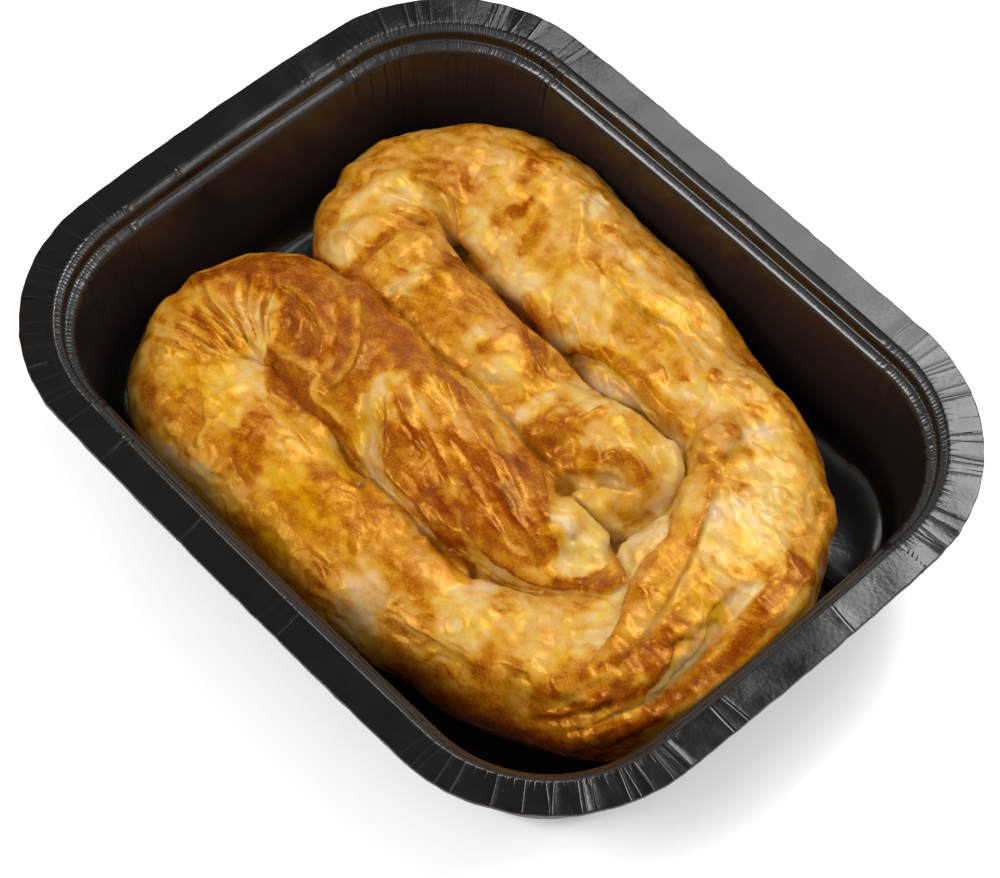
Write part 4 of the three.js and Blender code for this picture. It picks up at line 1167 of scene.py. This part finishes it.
def neighbour_mean(values, edges):
    """Mean of each point's neighbours."""
    count = len(values)
    ends = np.concatenate([edges[:, 0], edges[:, 1]])
    others = np.concatenate([edges[:, 1], edges[:, 0]])
    degree = np.maximum(np.bincount(ends, minlength=count), 1)
    if values.ndim == 1:
        return np.bincount(ends, values[others], count) / degree
    columns = [np.bincount(ends, values[others, k], count) for k in range(values.shape[1])]
    return np.stack(columns, 1) / degree[:, None]


def smoothed(values, edges, rounds):
    """Values drawn half-way to their neighbours' mean, some rounds over."""
    for _ in range(rounds):
        values = values + 0.5 * (neighbour_mean(values, edges) - values)
    return values


def point_normals(points, faces):
    """Outward direction at each point, larger faces counting for more."""
    quads = np.array([face if len(face) == 4 else (*face, face[-1]) for face in faces])
    across = np.cross(points[quads[:, 2]] - points[quads[:, 0]], points[quads[:, 3]] - points[quads[:, 1]])
    normals = np.zeros_like(points)
    for k in range(4):
        for axis in range(3):
            normals[:, axis] += np.bincount(quads[:, k], across[:, axis], len(points))
    return normals / np.maximum(np.linalg.norm(normals, axis=1, keepdims=True), 1e-9)


def seen_marks(points):
    """Where each point is seen against the level of the marks."""
    share = (MARK_LEVEL - points[:, 2]) / (EYE[2] - points[:, 2])
    return points[:, :2] + (EYE[:2] - points[:, :2]) * share[:, None]


def lip_profile(t, lip):
    """Height across a lip: the sheet falls off over its reach, the one below sinks towards the edge."""
    sheet = lip.rise * np.exp(-np.maximum(t, 0) / lip.reach)
    below = -lip.drop * np.exp(np.minimum(t, 0) / LIP_SINK)
    return below + (sheet - below) * smoothstep(*LIP_STEP, t)


def patch_relief(uv, ragged_uv, bake):
    """Relief of the patches in mm, and the tone with the patches and blotches painted over it."""
    relief = np.zeros(len(uv))
    for patch in PATCHES:
        near, share = inside_outline(uv if patch.rise else ragged_uv, patch.marks, patch.edge)
        relief[near] += patch.rise * share
        bake[near] += PATCH_OPACITY * share * (patch.tone - bake[near])
    for level, places in BLOTCHES:
        for place in places:
            share = BLOTCH_OPACITY * fall_off(blot(ragged_uv, *place), *BLOTCH_FALL)
            bake += share * (level - bake)
    return relief, bake


def lip_relief(uv, bake):
    """Relief and sideways push of the lips in mm, and the painted shade of their crevices. Paints their
    tones on bake.
    """
    relief = np.zeros(len(uv))
    push = np.zeros((len(uv), 2))
    crevice_shade = np.zeros(len(uv))
    for lip in LIPS:
        near, t, taper, left = beside_line(uv, lip.marks, max(3 * lip.reach, 3 * LIP_SINK))
        relief[near] += taper * lip_profile(t, lip)
        overhang = OVERHANG_SHARE * lip.rise * taper * bell(t, *OVERHANG_PLACE)
        push[near] -= overhang[:, None] * left
        # Painted shade in the crevice below the lip's edge, by its drop.
        gap_shade = CREVICE_SHADE_SHARE * lip.drop * taper * bell(t, *CREVICE_SHADE_PLACE)
        crevice_shade[near] = np.maximum(crevice_shade[near], gap_shade)
        if lip.tone is not None:
            bake[near] += LIP_OPACITY * taper * bell(t, *EDGE_PLACE) * (lip.tone - bake[near])
    return relief, push, crevice_shade


def fold_relief(uv, bake):
    """Relief and sideways push of all folds in mm, and the painted shade of crevices and deep hollows.
    Paints their tones on bake.
    """
    relief, push, crevice_shade = lip_relief(uv, bake)
    for ridge in RIDGES:
        near, t, taper, _ = beside_line(uv, ridge.marks, 3 * ridge.width)
        shape = taper * bell(t, 0, ridge.width)
        relief[near] += ridge.rise * shape
        if ridge.tone is not None:
            bake[near] += RIDGE_OPACITY * shape * (ridge.tone - bake[near])
    for u, v, radius, depth in HOLLOWS:
        shape = np.exp(-blot(uv, u, v, radius, radius, 0))
        relief -= depth * shape
        # Deep hollows get painted shade inside.
        if depth > SHADED_HOLLOW_DEPTH:
            crevice_shade = np.maximum(crevice_shade, HOLLOW_PAINTED_SHADE * shape)
    for u, v, radius, rise in SWELLINGS:
        relief += rise * np.exp(-blot(uv, u, v, radius, radius, 0))
    for u, v, radius, rise in RING_BLISTERS:
        distance = np.sqrt(blot(uv, u, v, 1, 1, 0))
        relief += rise * bell(distance, radius, RING_WIDTH)
    return relief, push, crevice_shade


def wash_and_sheen_share(uv, facing, streaks):
    """How yellow with egg wash each point is, 0 to 1, lower where sheen is painted on the lower inner leg.
    """
    total = streaks.copy()
    for *place, amount in WASHES_AND_SHEEN:
        total += facing * amount * fall_off(blot(uv, *place), *WASH_FALL)
    return WASH_MEAN + WASH_CONTRAST * total


# Where the fine pleats of the near left turn meet, as (u, v), and where they start and end: in mm from there
# and in degrees.
FAN_CENTRE = (-45.5, -31.5)
FAN_INNER = (6, 11)
FAN_OUTER = (20, 31)
FAN_FIRST = (-40, -25)
FAN_LAST = (42, 58)
# Their waves: speed round the middle and sharpness of the main one; how far it wanders, by radius and by
# angle; and the second one's speed, lead in degrees and share.
FAN_SPEED = 27
FAN_SHARPNESS = 0.7
FAN_WANDER = (2.5, 0.3, 0.08)
FAN_SECOND = (31, 40, 0.6)


def fan_relief(uv):
    """Fine pleats that run out from the pinch of the near left turn."""
    away = uv - FAN_CENTRE
    radius = np.linalg.norm(away, axis=1)
    angle = np.degrees(np.arctan2(away[:, 1], -away[:, 0]))
    reach = smoothstep(*FAN_INNER, radius) * (1 - smoothstep(*FAN_OUTER, radius))
    spread = smoothstep(*FAN_FIRST, angle) * (1 - smoothstep(*FAN_LAST, angle))
    swing, by_radius, by_angle = FAN_WANDER
    wander = swing * np.sin(by_radius * radius + by_angle * angle)
    wave = 1 - 2 * np.abs(np.sin(np.radians(FAN_SPEED * (angle + wander)))) ** FAN_SHARPNESS
    speed, lead, share = FAN_SECOND
    wave += share * np.sin(np.radians(speed * angle + lead))
    return reach * spread * wave


# Flakes: number of steps over the noise's height, and the share of a step that its edge takes.
FLAKE_STEPS = 2.6
FLAKE_EDGE = 0.14
# In flakes' sizes: their noise's lumps, the lumps and strength of its bend, and the areas that have flakes.
FLAKE_LUMPS = (1.4, 0.9, 0.9)
FLAKE_BEND_LUMPS = 0.4
FLAKE_BEND = 0.15
FLAKE_AREA_LUMPS = 1.2
FLAKE_AREAS = (-0.25, 0.35)
# Where behind the edge the brown starts to fade and over which share of a step, and what its mean takes off.
FLAKE_BROWN = (0.1, 0.3)
FLAKE_BROWN_MEAN = 0.3


def flake_relief(points, flakes):
    """Shingled steps where thin sheets end, about -1 to 1, and how brown they are towards their edges."""
    size, seed = flakes
    bends = [Noise(FLAKE_BEND_LUMPS * size, seed + k) for k in (0, 1, 2)]
    bend = np.stack([gradient_noise(points, noise) for noise in bends], 1)
    steps = Noise([size * lump for lump in FLAKE_LUMPS], seed + 3)
    level = FLAKE_STEPS * gradient_noise(points + FLAKE_BEND * size * bend, steps)
    share = level - np.floor(level)
    areas = Noise(FLAKE_AREA_LUMPS * size, seed + 4)
    amount = smoothstep(*FLAKE_AREAS, gradient_noise(points, areas))
    rise = smoothstep(0.0, FLAKE_EDGE, share)
    start, fade = FLAKE_BROWN
    browned = rise * np.exp(-np.maximum(share - start, 0) / fade) - FLAKE_BROWN_MEAN
    return amount * (rise - share), amount * browned


# Length in mm that the streaks' noise takes for one radian round a bend.
BEND_RADIUS = 20


def rope_streaks(uv, points):
    """Streaks of tone drawn out along the rope: straight in the middle, round at the bends."""
    height = points[:, 2]
    total = gradient_noise(np.column_stack([uv, height]), STRAIGHT_STREAKS)
    for (u, v, near, far), streaks in zip(BENDS, ROUND_STREAKS):
        away = uv - (u, v)
        radius = np.linalg.norm(away, axis=1)
        angle = np.arctan2(away[:, 1], np.abs(away[:, 0]))
        round_place = np.column_stack([BEND_RADIUS * angle, radius, height])
        share = smoothstep(near, far, uv[:, 0])
        total = total + share * (gradient_noise(round_place, streaks) - total)
    return total


def tray_room(points):
    """Distance in plan from each point to the tray's wall at its height."""
    profile = board_profile()[len(RIM_EDGE) + FLANGE_RINGS:][::-1]
    inset = np.interp(points[:, 2], profile[:, 1], profile[:, 0])
    half = np.array([TRAY_LENGTH, TRAY_WIDTH]) / 2 - SIDE_BOW - CORNER_RADIUS
    beyond = np.abs(points[:, :2]) - half
    outside = np.linalg.norm(np.maximum(beyond, 0), axis=1) + np.minimum(beyond.max(axis=1), 0)
    return CORNER_RADIUS - inset - outside


# How far the rope's side is set out at the right-hand end, and drawn in at the far and near sides, in mm.
RIGHT_OUT = 4.8
FAR_IN = 2.6
NEAR_IN = 3.8
# Least gap to the tray's wall in mm, and how much the side rises for the way it is set out.
WALL_GAP = 0.6
OUT_RISE = 0.25
# Where this starts and is full: by the normal's part to that side, and by x and y in mm; and where it ends.
SIDE_FACING = (0.1, 0.7)
RIGHT_X = (58, 74)
RIGHT_END_Y = (14, 34)
FAR_Y = (38, 52)
FAR_X = (0, 20)
FAR_END_X = (66, 78)
NEAR_Y = (-34, -56)
NEAR_X = (8, 30)
NEAR_END_X = (64, 78)


def side_shift(points, normals):
    """Sets the rope's side out at the right-hand end, and draws it in at the far and near sides."""
    x, y, _ = points.T
    facing_right = smoothstep(*SIDE_FACING, normals[:, 0])
    facing_far = smoothstep(*SIDE_FACING, normals[:, 1])
    facing_near = smoothstep(*SIDE_FACING, -normals[:, 1])
    right = smoothstep(*RIGHT_X, x) * facing_right * (1 - smoothstep(*RIGHT_END_Y, y))
    far = smoothstep(*FAR_Y, y) * facing_far * smoothstep(*FAR_X, x) * (1 - smoothstep(*FAR_END_X, x))
    near = smoothstep(*NEAR_Y, y) * facing_near * smoothstep(*NEAR_X, x) * (1 - smoothstep(*NEAR_END_X, x))
    out = np.clip(RIGHT_OUT * right, 0, np.maximum(tray_room(points) - WALL_GAP, 0))
    return np.column_stack([out, NEAR_IN * near - FAR_IN * far, OUT_RISE * out])


# Heights of each kind of small relief in mm, and the tone that goes with it.
FAN_RISE = 0.5
# The fan's tone is painted shade: browner valleys and paler crests between its pleats.
FAN_SHADE_TONE = -0.2
LUMP_RISE = 0.3
SMALL_LUMP_RISE = 0.12
CRUMPLE_RISE = 0.5
CRINKLE_RISE = 0.12
GRAIN_RISE = 0.05
GRAIN_TONE = 0.03
FLAKE_RISE = 0.28
FLAKE_TONE = 0.14
FINE_FLAKE_RISE = 0.06
FINE_FLAKE_TONE = 0.06
STREAK_RISE = 0.26
STREAK_TONE = 0.12
# The lower inner leg's streaks also shift the wash: the whiter streaks are painted sheen.
STREAK_SHEEN = 0.35
BROAD_STREAK_RISE = 0.5
BROAD_STREAK_TONE = 0.10
ROPE_STREAK_TONE = 0.13
MOTTLING_TONE = 0.09
# Crumples are rough on the far rope, by v, and at the right-hand bend, by u and v. A noise shifts them, in
# mm, and they and the crinkles are sharpened by a power and brought down by their mean.
FAR_ROUGH_V = (10, 34)
RIGHT_ROUGH_U = (40, 62)
RIGHT_ROUGH_V = (10, -10)
CRUMPLE_WARP = 1.5
CRUMPLE_POWER = 3
CRUMPLE_MEAN = 0.4
CRINKLE_POWER = 4
CRINKLE_MEAN = 0.3
# Crests are browner than what lies round them: tone by their height over it, in units of this height in mm.
CREST_TONE = 0.08
CREST_HEIGHT = 0.5
MOST_CREST = 1.2
# Tone where nothing is marked, and how far it drifts.
BASE_TONE = 0.45
CLOUD_TONE = 0.09
# The lower inner leg: as a blotch, where that starts and is full, and the slant of its streaks in degrees,
# how far noise shifts them in mm and the share of the fine ones.
LOWER_LEG = (6, -14, 30, 14, -5)
LEG_FADE = (1.6, 0.6)
LEG_SLANT = -19
LEG_WARP = 0.8
FINE_STREAK_SHARE = 0.6
# Room to the tray's wall, in mm, where relief is held back wholly and where it is free.
HELD_ROOM = 0.3
FREE_ROOM = 2.0
# Most painted shade in a crevice.
MOST_CREVICE_SHADE = 0.85


def small_relief(points, uv, warp):
    """Lumps, crumples, crinkles and grain in mm, and the grain alone."""
    u, v = uv.T
    rough = smoothstep(*FAR_ROUGH_V, v) + smoothstep(*RIGHT_ROUGH_U, u) * smoothstep(*RIGHT_ROUGH_V, v)
    relief = LUMP_RISE * gradient_noise(points, LUMPS)
    relief += SMALL_LUMP_RISE * gradient_noise(points, SMALL_LUMPS)
    bent = points + CRUMPLE_WARP * np.column_stack([warp, warp[:, 0]])
    crumple = 1 - np.abs(gradient_noise(bent, CRUMPLES))
    crinkle = 1 - np.abs(gradient_noise(points, CRINKLES))
    grain = gradient_noise(points, GRAIN)
    relief += CRUMPLE_RISE * rough * (crumple ** CRUMPLE_POWER - CRUMPLE_MEAN)
    relief += CRINKLE_RISE * (crinkle ** CRINKLE_POWER - CRINKLE_MEAN) + GRAIN_RISE * grain
    return relief, grain


def leg_streaks(points, uv, warp):
    """Fine and broad streaks along the lower inner leg, about -1 to 1."""
    slant = math.radians(LEG_SLANT)
    turn = np.array([[math.cos(slant), math.sin(slant)], [-math.sin(slant), math.cos(slant)]])
    place = np.column_stack([(uv + LEG_WARP * warp) @ turn.T, points[:, 2]])
    streak = gradient_noise(place, STREAKS) + FINE_STREAK_SHARE * gradient_noise(place, FINE_STREAKS)
    return streak, gradient_noise(place, BROAD_STREAKS)


def build_pastry(material):
    """The divided solid with all relief on it, and its tone, its wash with painted sheen and its painted
    crevice shade at each point.
    """
    points, edges, faces = divided_copy(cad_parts["pastry"])
    normals = smoothed(point_normals(points, faces), edges, NORMAL_ROUNDS)
    normals /= np.linalg.norm(normals, axis=1, keepdims=True)
    points = points + side_shift(points, normals)
    view = EYE - points
    view /= np.linalg.norm(view, axis=1, keepdims=True)
    facing = smoothstep(*SEEN, np.sum(normals * view, axis=1))
    top = smoothstep(*UPPER, normals[:, 2])

    uv = seen_marks(points)
    warp = np.stack([gradient_noise(points, noise) for noise in WARPS], 1)
    fine_warp = np.stack([gradient_noise(points, noise) for noise in FINE_WARPS], 1)
    fold_uv = uv + FOLD_WARP[0] * warp + FOLD_WARP[1] * fine_warp
    ragged_uv = uv + RAGGED_WARP[0] * warp + RAGGED_WARP[1] * fine_warp
    base = BASE_TONE + CLOUD_TONE * gradient_noise(points, CLOUDS)
    patches, bake = patch_relief(fold_uv, ragged_uv, base.copy())
    folds, push, crevice_shade = fold_relief(fold_uv, bake)
    bake = base + facing * (bake - base)

    fan = fan_relief(uv)
    small, grain = small_relief(points, uv, warp)
    flakes, flake_tone = flake_relief(points, FLAKES)
    fine_flakes, fine_tone = flake_relief(points, FINE_FLAKES)
    lower_leg = facing * smoothstep(*LEG_FADE, blot(uv, *LOWER_LEG))
    streak, broad = leg_streaks(points, uv, warp)
    relief = facing * (patches + folds + FAN_RISE * fan) + top * small
    relief += top * (FLAKE_RISE * flakes + FINE_FLAKE_RISE * fine_flakes)
    relief += lower_leg * (STREAK_RISE * streak + BROAD_STREAK_RISE * broad)

    crest = (relief - smoothed(relief, edges, CREST_ROUNDS)) / CREST_HEIGHT
    bake += CREST_TONE * np.clip(crest, -MOST_CREST, MOST_CREST) * top
    bake += MOTTLING_TONE * gradient_noise(points, MOTTLING) + GRAIN_TONE * grain
    bake += ROPE_STREAK_TONE * (1 - lower_leg) * rope_streaks(uv, points)
    # The fan's part here is painted shade in its valleys.
    bake += lower_leg * (STREAK_TONE * streak + BROAD_STREAK_TONE * broad) + FAN_SHADE_TONE * facing * fan
    bake += top * (FLAKE_TONE * flake_tone + FINE_FLAKE_TONE * fine_tone)

    hold = smoothstep(HELD_ROOM, FREE_ROOM, tray_room(points))
    relief += SWELL * (1 - smoothstep(*STEEP, np.abs(normals[:, 2])))
    slide = np.column_stack([facing[:, None] * push, np.zeros(len(points))])
    slide -= normals * np.sum(normals * slide, axis=1)[:, None]
    points = points + normals * np.where(relief > 0, relief * hold, relief)[:, None] + slide
    piece = mesh_piece("pastry_coil", points, faces, material)
    # The wash carries painted sheen on the lower inner leg; the crevice attribute is painted shade.
    add_attribute(piece.data, "wash_and_sheen", wash_and_sheen_share(ragged_uv, facing, STREAK_SHEEN * lower_leg * streak))
    add_attribute(piece.data, "bake", np.clip(bake, 0, 1))
    add_attribute(piece.data, "crevice_shade", np.clip(facing * crevice_shade, 0, MOST_CREVICE_SHADE))
    return piece


def area_light(name, place, target, size, energy):
    """A soft rectangular light that faces its target."""
    light = bpy.data.lights.new(name, "AREA")
    light.shape = "RECTANGLE"
    light.size, light.size_y = size
    light.energy = energy
    lamp = bpy.data.objects.new(name, light)
    lamp.location = place
    lamp.rotation_euler = (Vector(target) - Vector(place)).to_track_quat("-Z", "Y").to_euler()
    bpy.context.scene.collection.objects.link(lamp)


# Each softbox: name, place, what it faces and size in metres, and how bright its face is.
SOFTBOXES = [
    ("back_softbox", (-0.2, 0.74, 1.0), (-0.2, 0.74, 0.0), (0.86, 0.48), 6.2),
    ("back_lamp", (-0.02, 0.72, 0.98), (0.0, 0.0, 0.0), (0.13, 0.13), 34.0),
    ("back_softbox_middle", (-0.05, 0.74, 0.99), (-0.05, 0.74, 0.0), (0.56, 0.46), 3.6),
    ("front_softbox", (0.3, -0.58, 0.8), (0.0, 0.0, 0.0), (0.7, 0.7), 0.9),
    ("left_strip", (-0.41, -0.68, 0.67), (0.0, 0.0, 0.0), (0.5, 0.2), 17.0),
    ("right_strip", (0.62, 0.5, 0.9), (0.0, 0.0, 0.0), (0.10, 0.30), 7.0),
    ("side_strip", (-0.82, 0.06, 0.72), (0.0, 0.0, 0.0), (0.30, 0.14), 5.0),
    ("rim_strip", (-0.13, 0.46, 0.9), (0.1, 0.0, 0.04), (0.10, 0.40), 3.4),
    ("right_low_strip", (0.4, 0.78, 0.62), (0.0, 0.0, 0.0), (0.30, 0.16), 14.0),
]

# Direction of the white tent's dark opening, and the tent's brightness by the cosine of the angle from it.
OPENING = (-0.375, 0.375, 0.848)
TENT_STOPS = [(-1.0, 1.2), (0.0, 0.96), (0.8, 0.78), (0.88, 0.35), (0.95, 0.12)]
# A ramp's colours end at 1, so the tent's are divided by this and its strength is this.
TENT_STRENGTH = 2.0


def light_scene():
    """The tent as the world, and the softboxes."""
    world = bpy.data.worlds.new("studio")
    world.use_nodes = True
    nodes = world.node_tree.nodes
    links = world.node_tree.links
    along = nodes.new("ShaderNodeVectorMath")
    along.operation = "DOT_PRODUCT"
    links.new(nodes.new("ShaderNodeTexCoord").outputs["Generated"], along.inputs[0])
    along.inputs[1].default_value = OPENING
    share = add_math(nodes, links, "MULTIPLY_ADD", along.outputs["Value"], 0.5, 0.5)
    stops = [((cosine + 1) / 2, (glow / TENT_STRENGTH,) * 3) for cosine, glow in TENT_STOPS]
    background = nodes["Background"]
    links.new(add_ramp(nodes, links, share, stops), background.inputs["Color"])
    background.inputs["Strength"].default_value = TENT_STRENGTH
    bpy.context.scene.world = world
    for name, place, target, size, radiance in SOFTBOXES:
        area_light(name, place, target, size, radiance * size[0] * size[1] * math.pi)
    bpy.context.scene.view_settings.view_transform = "Standard"


def build_floor(material):
    """The wide white floor, which is not part of the object."""
    corners = [(x * FLOOR_REACH, y * FLOOR_REACH, 0) for x, y in ((-1, -1), (1, -1), (1, 1), (-1, 1))]
    floor = mesh_piece("floor", corners, [(0, 1, 2, 3)], material)


def place_camera():
    """The camera at the photo's place."""
    level = math.cos(ELEVATION)
    back = Vector((math.sin(AZIMUTH) * level, -math.cos(AZIMUTH) * level, math.sin(ELEVATION)))
    right = Vector((math.cos(AZIMUTH), math.sin(AZIMUTH), 0))
    up = back.cross(right)
    turned_right = math.cos(ROLL) * right + math.sin(ROLL) * up
    turned_up = math.cos(ROLL) * up - math.sin(ROLL) * right
    data = bpy.data.cameras.new("camera")
    data.lens = LENS
    data.sensor_width = SENSOR
    camera = bpy.data.objects.new("camera", data)
    axes = Matrix((turned_right, turned_up, back)).transposed().to_4x4()
    camera.matrix_world = Matrix.Translation(Vector(EYE * MM)) @ axes
    bpy.context.scene.collection.objects.link(camera)
    bpy.context.scene.camera = camera


place_camera()
light_scene()
build_floor(floor_material())

tray = build_tray(board_material())
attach(tray, "root")
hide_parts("tray")

pastry = build_pastry(crust_material())
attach(pastry, "root")
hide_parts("pastry")
